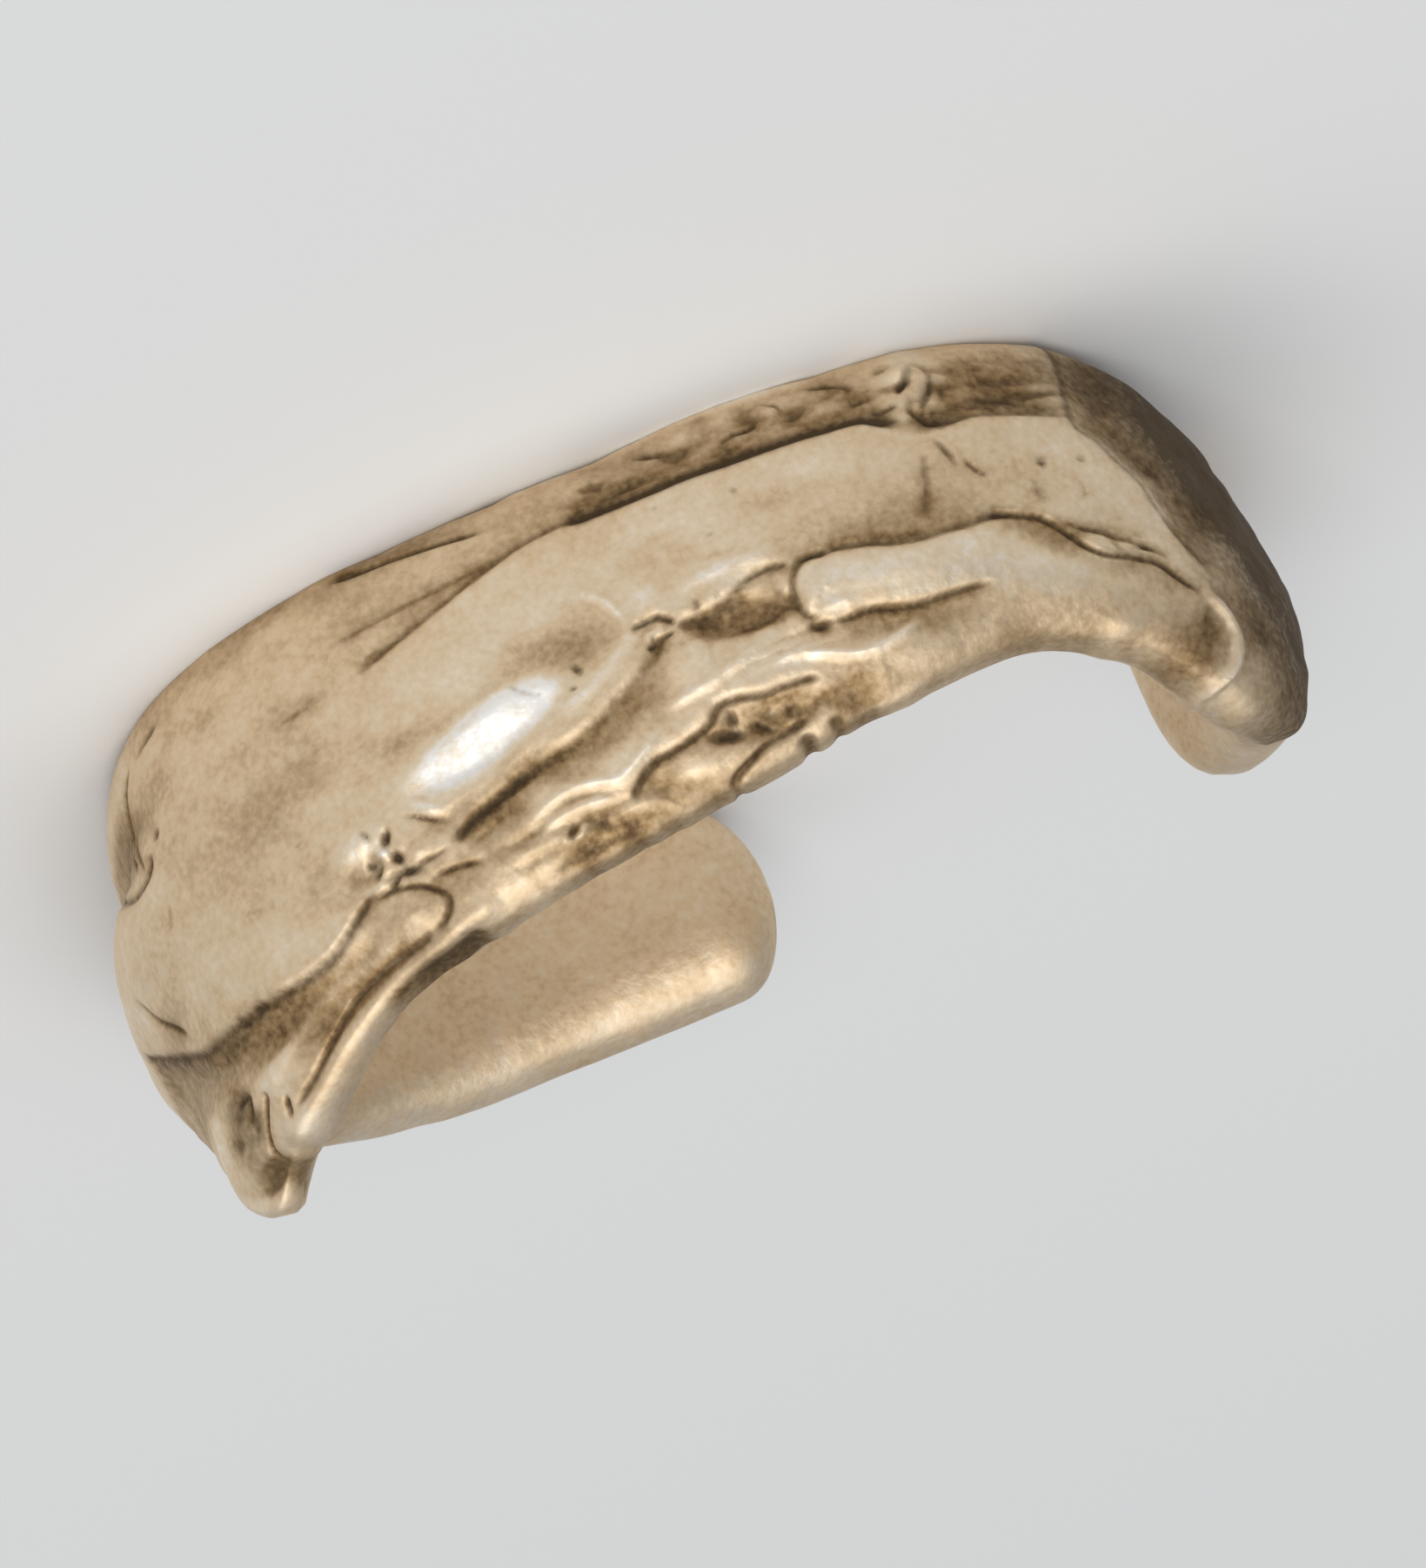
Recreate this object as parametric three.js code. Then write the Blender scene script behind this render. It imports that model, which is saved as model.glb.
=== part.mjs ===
// Ear cuff: one open band, cast in one piece from folded wax, that slides over the edge of the ear.
//
// Frame: millimetres, +Z up. The cuff lies on one rim, with its hollow upright along Z. The origin is under
// the middle of its box, on the surface that it lies on. The broad worn face looks to -Y, the wide bend is
// at +X, the narrow bend at -X, and the gap that the ear passes through is at the back, at +Y.
//
// The band is a tube of rounded sections carried along an oval plan. Places on it are charted in two
// measures: "along", the millimetres round the middle of the wall from the front centre, positive to the
// wide bend, and "up", the height above the surface that the cuff lies on.
import * as THREE from "three";

// Plan of the band, to its outermost surface.
const HALF_WIDTH = 8.3;
const HALF_DEPTH = 6.2;
const PLAN_POWER = 2.5; // 2 is an ellipse, more is squarer
const WALL = 1.5;

// Section of the wall: powers of its outer and inner halves, 2 being an ellipse.
const OUTER_POWER = 2.3;
const INNER_POWER = 3.2;

// The two ends of the band, and the length over which each rounds off.
const NARROW_END = -14.7;
const WIDE_END = 21.8;
const END_ROUNDING = 0.9;

// The flat that lying and polishing give the resting rim.
const REST_FLAT = 0.06;

// Mesh: spacing of the sections on the worn face and behind it, and points round each section.
const FACE_REACH = 9.5;
const FACE_SPACING = 0.24;
const BACK_SPACING = 0.6;
const END_SECTIONS = 4;
const OUTER_POINTS = 25;
const INNER_POINTS = 7;

const GOLD = 0xc9a664;

// Heights of the resting rim and the free rim above the surface, along the band.
const RIMS = [
  { along: -14.7, resting: 0.3, free: 3.6 },
  { along: -13.0, resting: 0.5, free: 4.1 },
  { along: -11.0, resting: 0.75, free: 4.8 },
  { along: -9.5, resting: 0.6, free: 5.65 },
  { along: -8.2, resting: 0.28, free: 5.85 },
  { along: -7.3, resting: 0.16, free: 5.45 },
  { along: -6.5, resting: 0.1, free: 4.95 },
  { along: -5.0, resting: 0.0, free: 4.6 },
  { along: -3.0, resting: -0.05, free: 4.9 },
  { along: 0.0, resting: 0.1, free: 5.4 },
  { along: 3.0, resting: -0.05, free: 5.65 },
  { along: 5.0, resting: -0.1, free: 5.95 },
  { along: 7.0, resting: 0.0, free: 6.7 },
  { along: 8.3, resting: 0.15, free: 6.95 },
  { along: 9.5, resting: 0.4, free: 6.2 },
  { along: 11.0, resting: 0.7, free: 5.2 },
  { along: 13.0, resting: 0.5, free: 4.0 },
  { along: 16.0, resting: 0.1, free: 3.2 },
  { along: 19.0, resting: 0.0, free: 2.9 },
  { along: 21.8, resting: 0.0, free: 2.8 },
];

// Folds of the wax: each is a groove along a curve, with one side standing higher than the other. A fold is
// listed from the wide bend to the narrow one, and a positive step raises the side nearer the resting rim.
const FOLDS = [
  {
    name: "strip_seam",
    route: [
      [3.5, 1.75], [2.0, 1.38], [0.9, 1.02], [-0.5, 1.0],
      [-2.1, 1.05], [-3.7, 1.07], [-4.4, 1.4], [-6.5, 1.62],
    ],
    depth: 0.12, width: 0.25, step: -0.15, reach: 0.8,
  },
  {
    name: "notch",
    route: [[9.6, 1.5], [8.8, 1.6], [8.1, 1.95], [7.5, 2.32], [7.1, 2.3], [6.85, 1.98]],
    depth: 0.12, width: 0.3, step: -0.1, reach: 0.5,
  },
  {
    name: "main_fold",
    route: [[10.2, 3.1], [9.4, 3.62], [8.1, 4.46], [7.2, 4.86], [6.2, 5.02], [5.1, 5.08], [4.2, 4.6]],
    depth: 0.12, width: 0.35, step: 0.3, reach: 1.2,
  },
  {
    name: "middle_fold",
    route: [[3.1, 4.62], [2.2, 4.27], [1.1, 4.05], [0.45, 3.76], [-0.2, 3.36], [-0.5, 3.15]],
    depth: 0.15, width: 0.3, step: 0.2, reach: 0.9,
  },
  {
    name: "finger_top",
    route: [
      [-2.2, 3.0], [-2.95, 2.86], [-4.05, 3.07], [-4.9, 3.0],
      [-5.6, 3.36], [-6.1, 3.82], [-6.75, 3.98], [-7.35, 4.42],
    ],
    depth: 0.15, width: 0.28, step: 0.0, reach: 0.8,
  },
  {
    name: "finger_under",
    route: [[-2.1, 3.76], [-2.95, 3.83], [-3.55, 3.95], [-4.6, 3.9]],
    depth: 0.14, width: 0.25, step: 0.1, reach: 0.5,
  },
  {
    name: "patch_seam",
    route: [[0.78, 5.1], [0.3, 4.7], [-0.55, 4.5], [-1.3, 4.42], [-2.1, 4.45], [-2.5, 4.9]],
    depth: 0.14, width: 0.3, step: 0.15, reach: 0.5,
  },
  {
    name: "valley_above_the_toe",
    route: [[6.8, 6.15], [5.8, 5.78], [5.25, 5.62], [4.4, 5.5], [3.7, 5.42]],
    depth: 0.14, width: 0.25, step: 0.0, reach: 0.6,
  },
];

// Rounded ridges and lobes between the folds.
const RIDGES = [
  { name: "finger", route: [[-2.4, 3.35], [-3.5, 3.4], [-5.0, 3.75]], width: 0.35, height: 0.1 },
  {
    name: "toe",
    route: [[7.2, 6.6], [6.4, 6.35], [5.8, 6.12], [4.55, 5.7], [3.6, 5.6], [2.6, 5.5]],
    width: 0.25, height: 0.12,
  },
  {
    name: "lip",
    route: [[1.4, 4.6], [0.3, 4.45], [-0.4, 4.05], [-1.6, 3.85], [-2.6, 4.25], [-3.5, 4.15]],
    width: 0.22, height: 0.08,
  },
  {
    name: "narrow_lobe",
    route: [[-3.8, 4.1], [-5.0, 4.0], [-6.4, 4.3], [-7.0, 4.9]],
    width: 0.45, height: 0.1,
  },
];

// Broad swellings and hollows, as soft ellipses.
const SWELLS = [
  { name: "main_lobe", along: 5.9, up: 3.4, halfAlong: 2.4, halfUp: 1.5, height: 0.08 },
  { name: "thumb_hollow", along: 0.9, up: 2.65, halfAlong: 0.9, halfUp: 0.5, height: -0.11 },
  { name: "slope_under_the_facet", along: 2.5, up: 4.15, halfAlong: 0.9, halfUp: 0.3, height: -0.1 },
  { name: "shelf", along: -1.5, up: 3.28, halfAlong: 0.7, halfUp: 0.3, height: -0.13 },
  { name: "patch_hollow", along: -1.35, up: 4.72, halfAlong: 0.7, halfUp: 0.3, height: -0.12 },
  { name: "inner_strip", along: -5.7, up: 0.9, halfAlong: 1.15, halfUp: 0.5, height: -0.08 },
  { name: "turned_side", along: -9.0, up: 1.6, halfAlong: 1.9, halfUp: 1.5, height: -0.08 },
];

// Profile of the wide bend: how far in the wax stands at each height, the same all along the bend.
const WIDE_BEND = { along: 11.4, halfAlong: 4.2, power: 5 };
const WIDE_BEND_INSETS = [
  { up: -0.1, depth: 0.2 },
  { up: 0.3, depth: 0.24 },
  { up: 0.7, depth: 0.32 },
  { up: 1.05, depth: 0.46 },
  { up: 1.4, depth: 0.52 },
  { up: 1.8, depth: 0.3 },
  { up: 2.2, depth: 0.14 },
  { up: 2.9, depth: 0.12 },
  { up: 3.5, depth: 0.22 },
  { up: 4.0, depth: 0.34 },
  { up: 4.6, depth: 0.38 },
  { up: 5.5, depth: 0.3 },
  { up: 7.0, depth: 0.2 },
];

// The middle of the wall in plan, as a closed superellipse that starts and ends at the back.
class PlanCurve extends THREE.Curve {
  getPoint(t, target = new THREE.Vector2()) {
    const angle = (2 * t - 1) * Math.PI;
    const bend = (value) => Math.sign(value) * Math.abs(value) ** (2 / PLAN_POWER);
    return target.set(
      (HALF_WIDTH - WALL / 2) * bend(Math.sin(angle)),
      -(HALF_DEPTH - WALL / 2) * bend(Math.cos(angle)),
    );
  }
}

const plan = new PlanCurve();
plan.arcLengthDivisions = 4000;
const PERIMETER = plan.getLength();

// A smooth function of one measure, through the rows of a table.
function throughRows(rows, measure, column) {
  const spline = new THREE.CubicInterpolant(
    rows.map((row) => row[measure]),
    rows.map((row) => row[column]),
    1,
  );
  return (value) => spline.evaluate(value)[0];
}

const restingRim = throughRows(RIMS, "along", "resting");
const freeRim = throughRows(RIMS, "along", "free");
const wideBendInset = throughRows(WIDE_BEND_INSETS, "up", "depth");

const smoothStep = (value) => THREE.MathUtils.smoothstep(value, 0, 1);

// The nearest place to a point on a route: distance, signed share along it, and which side it is on.
function nearestOn(route, along, up) {
  let best = { distance: Infinity };
  for (let i = 0; i + 1 < route.length; i++) {
    const [a, b] = [route[i], route[i + 1]];
    const [dx, dy] = [b.x - a.x, b.y - a.y];
    const share = THREE.MathUtils.clamp(
      ((along - a.x) * dx + (up - a.y) * dy) / (dx * dx + dy * dy), 0, 1);
    const [px, py] = [along - a.x - share * dx, up - a.y - share * dy];
    const distance = Math.hypot(px, py);
    if (distance < best.distance) {
      best = { distance, side: Math.sign(dx * py - dy * px), share: (i + share) / (route.length - 1) };
    }
  }
  return best;
}

const smoothRoute = (points) =>
  new THREE.SplineCurve(points.map(([x, y]) => new THREE.Vector2(x, y))).getPoints(6 * points.length);

const TAPER = 0.12; // share of a route over which a fold or ridge fades in and out
const fade = (share) => smoothStep(share / TAPER) * smoothStep((1 - share) / TAPER);

const folds = FOLDS.map((fold) => ({ ...fold, line: smoothRoute(fold.route) }));
const ridges = RIDGES.map((ridge) => ({ ...ridge, line: smoothRoute(ridge.route) }));

// How far the worn surface stands out from the plain section at a place on the chart.
function relief(along, up) {
  let height = 0;
  for (const { line, depth, width, step, reach } of folds) {
    const { distance, side, share } = nearestOn(line, along, up);
    const groove = -depth * Math.exp(-((distance / width) ** 2));
    const ledge = 0.5 * step * side * Math.tanh(distance / width) * Math.exp(-distance / reach);
    height += fade(share) * (groove + ledge);
  }
  for (const { line, width, height: rise } of ridges) {
    const { distance, share } = nearestOn(line, along, up);
    height += fade(share) * rise * Math.exp(-((distance / width) ** 2));
  }
  for (const swell of SWELLS) {
    const [x, y] = [(along - swell.along) / swell.halfAlong, (up - swell.up) / swell.halfUp];
    height += swell.height * Math.exp(-(x * x + y * y));
  }
  const fromBend = Math.abs((along - WIDE_BEND.along) / WIDE_BEND.halfAlong);
  height -= wideBendInset(up) * Math.exp(-(fromBend ** WIDE_BEND.power));
  return height;
}

// Distances from an end at which its rounding has sections, nearest the end first.
function endPlaces() {
  const distances = [];
  for (let i = 1; i <= END_SECTIONS; i++) {
    distances.push(END_ROUNDING * (1 - Math.cos((i / END_SECTIONS) * Math.PI / 2)));
  }
  return distances;
}

// Places of the sections: close together on the worn face, further apart behind it.
function sectionPlaces() {
  const places = endPlaces().map((distance) => NARROW_END + distance);
  let along = places.at(-1) + BACK_SPACING;
  while (along < WIDE_END - END_ROUNDING - BACK_SPACING / 2) {
    places.push(along);
    along += Math.abs(along) < FACE_REACH ? FACE_SPACING : BACK_SPACING;
  }
  return [...places, ...endPlaces().reverse().map((distance) => WIDE_END - distance)];
}

// Angles round a section, from the resting rim over the outer face to the free rim and back inside.
function sectionAngles() {
  const angles = [];
  for (let i = 0; i < OUTER_POINTS; i++) angles.push(Math.PI * (i / OUTER_POINTS - 0.5));
  for (let i = 0; i < INNER_POINTS; i++) angles.push(Math.PI * (i / INNER_POINTS + 0.5));
  return angles;
}

// A section is a superellipse, smaller near the band's ends, with the relief on its outer half.
function sectionPoint(along, angle) {
  const toEnd = Math.min(along - NARROW_END, WIDE_END - along, END_ROUNDING) / END_ROUNDING;
  const rounding = Math.sqrt(1 - (1 - toEnd) ** 2);
  const share = (along / PERIMETER + 1.5) % 1;
  const centre = plan.getPointAt(share);
  const tangent = plan.getTangentAt(share);
  const [low, high] = [restingRim(along), freeRim(along)];

  const [cos, sin] = [Math.cos(angle), Math.sin(angle)];
  const power = 2 / (cos > 0 ? OUTER_POWER : INNER_POWER);
  const up = (low + high) / 2 + rounding * (high - low) / 2 * Math.sign(sin) * Math.abs(sin) ** power;
  let out = rounding * WALL / 2 * Math.sign(cos) * Math.abs(cos) ** power;
  if (cos > 0) out += rounding * Math.sqrt(cos) * relief(along, up);
  return new THREE.Vector3(
    centre.x + out * tangent.y,
    centre.y - out * tangent.x,
    Math.max(up - REST_FLAT, 0),
  );
}

// The closed skin of the band: a ring of points for each section, and a point at the tip of each end,
// moved so that the middle of its box is over the origin.
function bandGeometry() {
  const places = sectionPlaces();
  const angles = sectionAngles();
  const rings = places.map((along) => angles.map((angle) => sectionPoint(along, angle)));
  const points = [...rings.flat(), sectionPoint(NARROW_END, 0), sectionPoint(WIDE_END, 0)];

  const around = angles.length;
  const index = [];
  for (let i = 0; i + 1 < rings.length; i++) {
    for (let j = 0; j < around; j++) {
      const [a, b] = [i * around + j, i * around + ((j + 1) % around)];
      const [c, d] = [a + around, b + around];
      index.push(a, c, b, b, c, d);
    }
  }
  const [narrowTip, wideTip] = [points.length - 2, points.length - 1];
  const lastRing = (rings.length - 1) * around;
  for (let j = 0; j < around; j++) {
    const next = (j + 1) % around;
    index.push(narrowTip, j, next, wideTip, lastRing + next, lastRing + j);
  }
  const geometry = new THREE.BufferGeometry().setFromPoints(points);
  geometry.setIndex(index);
  geometry.computeBoundingBox();
  const middle = geometry.boundingBox.getCenter(new THREE.Vector3());
  geometry.translate(-middle.x, -middle.y, -geometry.boundingBox.min.z);
  geometry.computeVertexNormals();
  return geometry;
}

const band = new THREE.Mesh(
  bandGeometry(),
  new THREE.MeshStandardMaterial({ color: GOLD, roughness: 0.28, metalness: 1 }),
);
band.name = "cuff_band";

const cuff = new THREE.Group();
cuff.add(band);

export default cuff;
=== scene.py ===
"""The looks of an open ear cuff, cast in one piece of gold-plated metal from folded and pressed wax.

The worn face is one skin, worked out as whole arrays on a grid. Places on it are charted in two measures,
both in millimetres: "along", round the middle of the wall from the front centre, positive to the wide bend,
and "up", the height above the surface that the cuff lies on. Each fold, ridge, swelling, pit and crumpled
patch of the wax adds its share to how far the skin stands out at a place on the chart.
"""

import logging
import math
from dataclasses import dataclass, field
from enum import Enum

import bpy
import numpy as np
from mathutils import Matrix, Vector


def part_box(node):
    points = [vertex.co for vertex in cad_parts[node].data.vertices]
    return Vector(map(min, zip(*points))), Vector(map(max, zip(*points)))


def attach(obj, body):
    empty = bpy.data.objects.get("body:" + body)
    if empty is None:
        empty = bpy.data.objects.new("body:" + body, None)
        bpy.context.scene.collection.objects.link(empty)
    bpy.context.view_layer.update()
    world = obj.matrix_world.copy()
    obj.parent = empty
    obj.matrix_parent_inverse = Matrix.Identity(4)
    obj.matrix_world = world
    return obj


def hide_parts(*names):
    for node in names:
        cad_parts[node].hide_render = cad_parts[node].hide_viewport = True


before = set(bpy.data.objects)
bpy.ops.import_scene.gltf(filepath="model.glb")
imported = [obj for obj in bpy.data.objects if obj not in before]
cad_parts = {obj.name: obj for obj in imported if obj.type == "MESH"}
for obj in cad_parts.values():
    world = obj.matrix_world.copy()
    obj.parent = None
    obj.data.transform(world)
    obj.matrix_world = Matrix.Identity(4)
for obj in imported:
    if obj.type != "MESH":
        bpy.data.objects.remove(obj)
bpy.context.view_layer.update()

LOG = logging.getLogger("ear_cuff")
MM = 0.001

Array = np.ndarray
Place = tuple[float, float]
Colour = tuple[float, float, float, float]

LATTICE = 256  # cells after which a random pattern repeats
TINY = 1e-12  # keeps a division by nothing away


# --------------------------------------------------------------------------------------------------------
# Small pieces of arithmetic on whole arrays
# --------------------------------------------------------------------------------------------------------


def signed_power(values: Array, power: float) -> Array:
    """Raises the size of each value to a power and keeps its sign."""
    return np.sign(values) * np.abs(values) ** power


def smooth_step(values: Array) -> Array:
    """Runs from 0 to 1 as the values do, level at both ends: 3v squared less 2v cubed."""
    share = np.clip(values, 0.0, 1.0)
    return share * share * (3.0 - 2.0 * share)


def through_rows(places: Array, known_at: Array, known: Array) -> Array:
    """Carries a smooth line through the rows of a table without overshooting them.

    Each stretch is a cubic with set slopes at its ends. A row's slope is the harmonic mean of the slopes of
    its two neighbouring stretches, or level where the line turns there.

    Args:
        places: Where the line is wanted.
        known_at: The rows' places, rising.
        known: The rows' values.

    Returns:
        The line's values at the places.
    """
    step = np.diff(known_at)
    slope = np.diff(known) / step
    product = slope[:-1] * slope[1:]
    total = np.where(np.abs(slope[:-1] + slope[1:]) < 1e-9, 1.0, slope[:-1] + slope[1:])
    inner = np.where(product > 0.0, 2.0 * product / total, 0.0)
    tangent = np.concatenate([slope[:1], inner, slope[-1:]])
    row = np.clip(np.searchsorted(known_at, places) - 1, 0, len(step) - 1)
    t = (places - known_at[row]) / step[row]
    rise = t * t * (3.0 - 2.0 * t)
    return (
        known[row] * (1.0 - rise)
        + known[row + 1] * rise
        + t * (1.0 - t) ** 2 * step[row] * tangent[row]
        - t * t * (1.0 - t) * step[row] * tangent[row + 1]
    )


def smooth_route(points: tuple[Place, ...], steps: int = 8) -> Array:
    """Carries a smooth curve through a few points, by the usual cubic through each four in turn.

    Args:
        points: The points, in order.
        steps: How many short lines stand for each stretch between two points.

    Returns:
        The curve as an array of places, one to a row.
    """
    known = np.array(points, float)
    padded = np.vstack([2 * known[0] - known[1], known, 2 * known[-1] - known[-2]])
    t = (np.arange(steps) / steps)[None, :, None]
    before, start, end, after = (padded[i : len(known) - 1 + i, None, :] for i in range(4))
    curve = 0.5 * (
        2.0 * start
        + (end - before) * t
        + (2.0 * before - 5.0 * start + 4.0 * end - after) * t**2
        + (3.0 * start - before - 3.0 * end + after) * t**3
    )
    return np.vstack([curve.reshape(-1, 2), known[-1:]])


def blurred(values: Array, reach: float) -> Array:
    """Softens a grid of values with a bell-shaped weight along both of its directions.

    Args:
        values: The grid.
        reach: The bell's spread, in grid steps.

    Returns:
        The softened grid, with its edge values held beyond its edges.
    """
    half = int(math.ceil(2.5 * reach))
    steps = np.arange(-half, half + 1)
    weights = np.exp(-0.5 * (steps / reach) ** 2)
    weights /= weights.sum()
    soft = values
    for axis in (0, 1):
        padding = [(half, half) if axis == i else (0, 0) for i in (0, 1)]
        wide = np.pad(soft, padding, mode="edge")
        length = values.shape[axis]
        soft = sum(w * np.take(wide, np.arange(k, k + length), axis) for k, w in enumerate(weights))
    return soft


@dataclass(frozen=True)
class Grain:
    """Smooth random hills: values drawn on a lattice, eased from one lattice point to the next."""

    seed: int
    cell_along: float
    cell_up: float
    octaves: int = 3

    def at(self, along: Array, up: Array) -> Array:
        """Adds finer and lower layers of hills to the first.

        Args:
            along: The chart's first measure at each place.
            up: The chart's second measure at each place.

        Returns:
            Heights between about -1 and 1.
        """
        total = np.zeros_like(along)
        for octave in range(self.octaves):
            scale = 2.0**octave
            total += self._layer(octave, along * scale / self.cell_along, up * scale / self.cell_up) / scale
        return total

    def _layer(self, octave: int, x: Array, y: Array) -> Array:
        """Eases between the four lattice values round each place.

        Args:
            octave: Which layer of hills this is, from 0.
            x: The first measure of each place, in lattice cells.
            y: The second measure, in lattice cells.

        Returns:
            Heights between -1 and 1.
        """
        lattice = np.random.default_rng(self.seed + octave).uniform(-1.0, 1.0, (LATTICE, LATTICE))
        column, row = np.floor(x).astype(int), np.floor(y).astype(int)
        left, right = column % LATTICE, (column + 1) % LATTICE
        share_x, share_y = smooth_step(x - column), smooth_step(y - row)
        low, high = (
            lattice[left, line % LATTICE] * (1 - share_x) + lattice[right, line % LATTICE] * share_x
            for line in (row, row + 1)
        )
        return low * (1 - share_y) + high * share_y


# --------------------------------------------------------------------------------------------------------
# The relief of the worn face
# --------------------------------------------------------------------------------------------------------


class Over(Enum):
    """Which layer of wax lies on top at a fold whose route runs from the wide bend to the narrow one."""

    RESTING_SIDE = 1
    NEITHER = 0
    FREE_SIDE = -1


@dataclass(frozen=True)
class Nearest:
    """For the places near a route: which they are, and how they lie to it.

    Attributes:
        where: The places' rows and columns on the grid.
        distance: How far each is from the route.
        side: 1 to the left of the route, -1 to the right, 0 on it.
        to_end: How far the nearest foot is from the nearer end, along the route.
        fade: 1 along the route, easing to 0 at its ends.
    """

    where: tuple[Array, ...]
    distance: Array
    side: Array
    to_end: Array
    fade: Array


@dataclass
class Skin:
    """The state of the relief on the grid: its height, its dark stain and its brown wash at each place. The
    stain and the wash are partly patina and partly painted shade; a wash below nothing paints the metal
    paler, partly as rubbed wear and partly as a painted highlight.
    """

    along: Array
    up: Array
    height: Array = field(init=False)
    stain_and_shade: Array = field(init=False)
    wash: Array = field(init=False)

    def __post_init__(self) -> None:
        """Starts level, with no stain, painted shade or wash."""
        self.height = np.zeros_like(self.along)
        self.stain_and_shade = np.zeros_like(self.along)
        self.wash = np.zeros_like(self.along)

    def nearest(self, line: Array, margin: float, taper: float) -> Nearest:
        """Finds how the places near a route lie to it.

        Each place is dropped square onto each short line of the route, and the nearest foot counts. The side
        is the sign of the cross product of the short line and the place's offset from the foot.

        Args:
            line: The route's points, one to a row.
            margin: How far from the route's box places are looked at.
            taper: The length over which the route fades in and out at its ends.

        Returns:
            The places near the route and how each lies to it.
        """
        low, high = line.min(0) - margin, line.max(0) + margin
        where = np.nonzero(
            (self.along > low[0]) & (self.along < high[0]) & (self.up > low[1]) & (self.up < high[1])
        )
        place = np.stack([self.along[where], self.up[where]], -1)[:, None, :]
        start, step = line[None, :-1], np.diff(line, axis=0)[None]
        length = np.hypot(step[..., 0], step[..., 1])
        share = np.clip(((place - start) * step).sum(-1) / (length**2 + TINY), 0.0, 1.0)
        offset = place - start - share[..., None] * step
        distance = np.hypot(offset[..., 0], offset[..., 1])
        best = distance.argmin(1)
        row = np.arange(len(best))
        cross = step[0, best, 0] * offset[row, best, 1] - step[0, best, 1] * offset[row, best, 0]
        travelled = np.concatenate([[0.0], np.cumsum(length[0])])
        walked = travelled[best] + share[row, best] * length[0, best]
        to_end = np.minimum(walked, travelled[-1] - walked)
        return Nearest(where, distance[row, best], np.sign(cross), to_end, smooth_step(to_end / taper))


SHADE_REACH = 3.0  # how much wider than its crease a fold's brown wash is; the wash is partly patina and partly painted shade
UPPER_SHADE = 0.4  # how much of the wash lies on the upper layer; the lower layer, where painted shade falls under the upper one, takes the whole wash
SHADE_CHANGE = 4.0  # crease widths over which the wash changes from one layer to the other
LEDGE_TAPER = 2.5  # how much longer than its crease's taper the fade of a fold's two layers is
LEAST_TAPER = 3.0  # crease widths over which a crease fades at its ends, at the least
CREASE_MARGIN = 7.0  # crease widths beyond which a crease has died out
LEDGE_MARGIN = 3.0  # reaches beyond which a layer's height has died out


@dataclass(frozen=True)
class Fold:
    """A crease with one layer of wax over the other.

    The crease is a bell-shaped groove. The upper layer stands ``lift`` proud, which eases in as a quarter
    sine over ``roll``. The lower layer lies ``drop`` deep, which eases in over ``slope``. Both are lost
    again over ``reach``. The crease is painted dark, with a brown wash beside it that is heaviest on the
    lower layer: partly patina, partly painted shade under the upper layer.
    """

    name: str
    route: tuple[Place, ...]
    depth: float = 0.08
    width: float = 0.05
    over: Over = Over.NEITHER
    lift: float = 0.0
    drop: float = 0.0
    roll: float = 0.2
    slope: float = 0.25
    reach: float = 0.9
    taper: float = 0.35
    stain_and_shade: float = 0.8
    wash: float = 0.5

    def press(self, skin: Skin) -> None:
        """Adds the crease, the two layers beside it, and its dark line and brown wash, which are partly
        patina and partly painted shade.

        Args:
            skin: The skin to press into.
        """
        layered = self.lift > 0.0 or self.drop > 0.0
        margin = max(CREASE_MARGIN * self.width, self.slope + LEDGE_MARGIN * self.reach if layered else 0.0)
        near = skin.nearest(smooth_route(self.route), margin, max(self.taper, LEAST_TAPER * self.width))
        groove = np.exp(-((near.distance / self.width) ** 2))
        aside = near.side * self.over.value * near.distance
        upper = aside > 0.0
        if layered:
            ease = np.where(upper, self.roll, self.slope)
            eased = np.sin(np.clip(near.distance / ease, 0.0, 1.0) * math.pi / 2)
            lost = np.exp(-np.clip(near.distance - ease, 0.0, None) / self.reach)
            slow_fade = smooth_step(near.to_end / (LEDGE_TAPER * self.taper))
            skin.height[near.where] += slow_fade * np.where(upper, self.lift, -self.drop) * eased * lost
        skin.height[near.where] += near.fade * (-self.depth * groove)
        skin.stain_and_shade[near.where] += near.fade * self.stain_and_shade * groove
        on_layer = 1.0 - (1.0 - UPPER_SHADE) * smooth_step(0.5 + aside / (SHADE_CHANGE * self.width))
        shade = on_layer * np.exp(-((near.distance / (SHADE_REACH * self.width)) ** 2))
        skin.wash[near.where] += near.fade * self.wash * shade


RIDGE_MARGIN = 3.0  # ridge widths beyond which nothing is added


@dataclass(frozen=True)
class Ridge:
    """A raised line of wax, painted paler than the rest, partly as rubbed wear and partly as a painted
    highlight: a bell-shaped bank along a route.
    """

    name: str
    route: tuple[Place, ...]
    height: float = 0.08
    width: float = 0.12
    taper: float = 0.4
    # How much paler the bank is painted: partly rubbed wear, partly a painted highlight.
    wear_and_highlight: float = 0.3

    def press(self, skin: Skin) -> None:
        """Adds the bank and takes the wash off it, which paints it paler: partly rubbed wear, partly a
        painted highlight.

        Args:
            skin: The skin to press into.
        """
        near = skin.nearest(smooth_route(self.route), RIDGE_MARGIN * self.width, self.taper)
        bank = near.fade * np.exp(-((near.distance / self.width) ** 2))
        skin.height[near.where] += self.height * bank
        skin.wash[near.where] -= self.wear_and_highlight * bank


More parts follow.
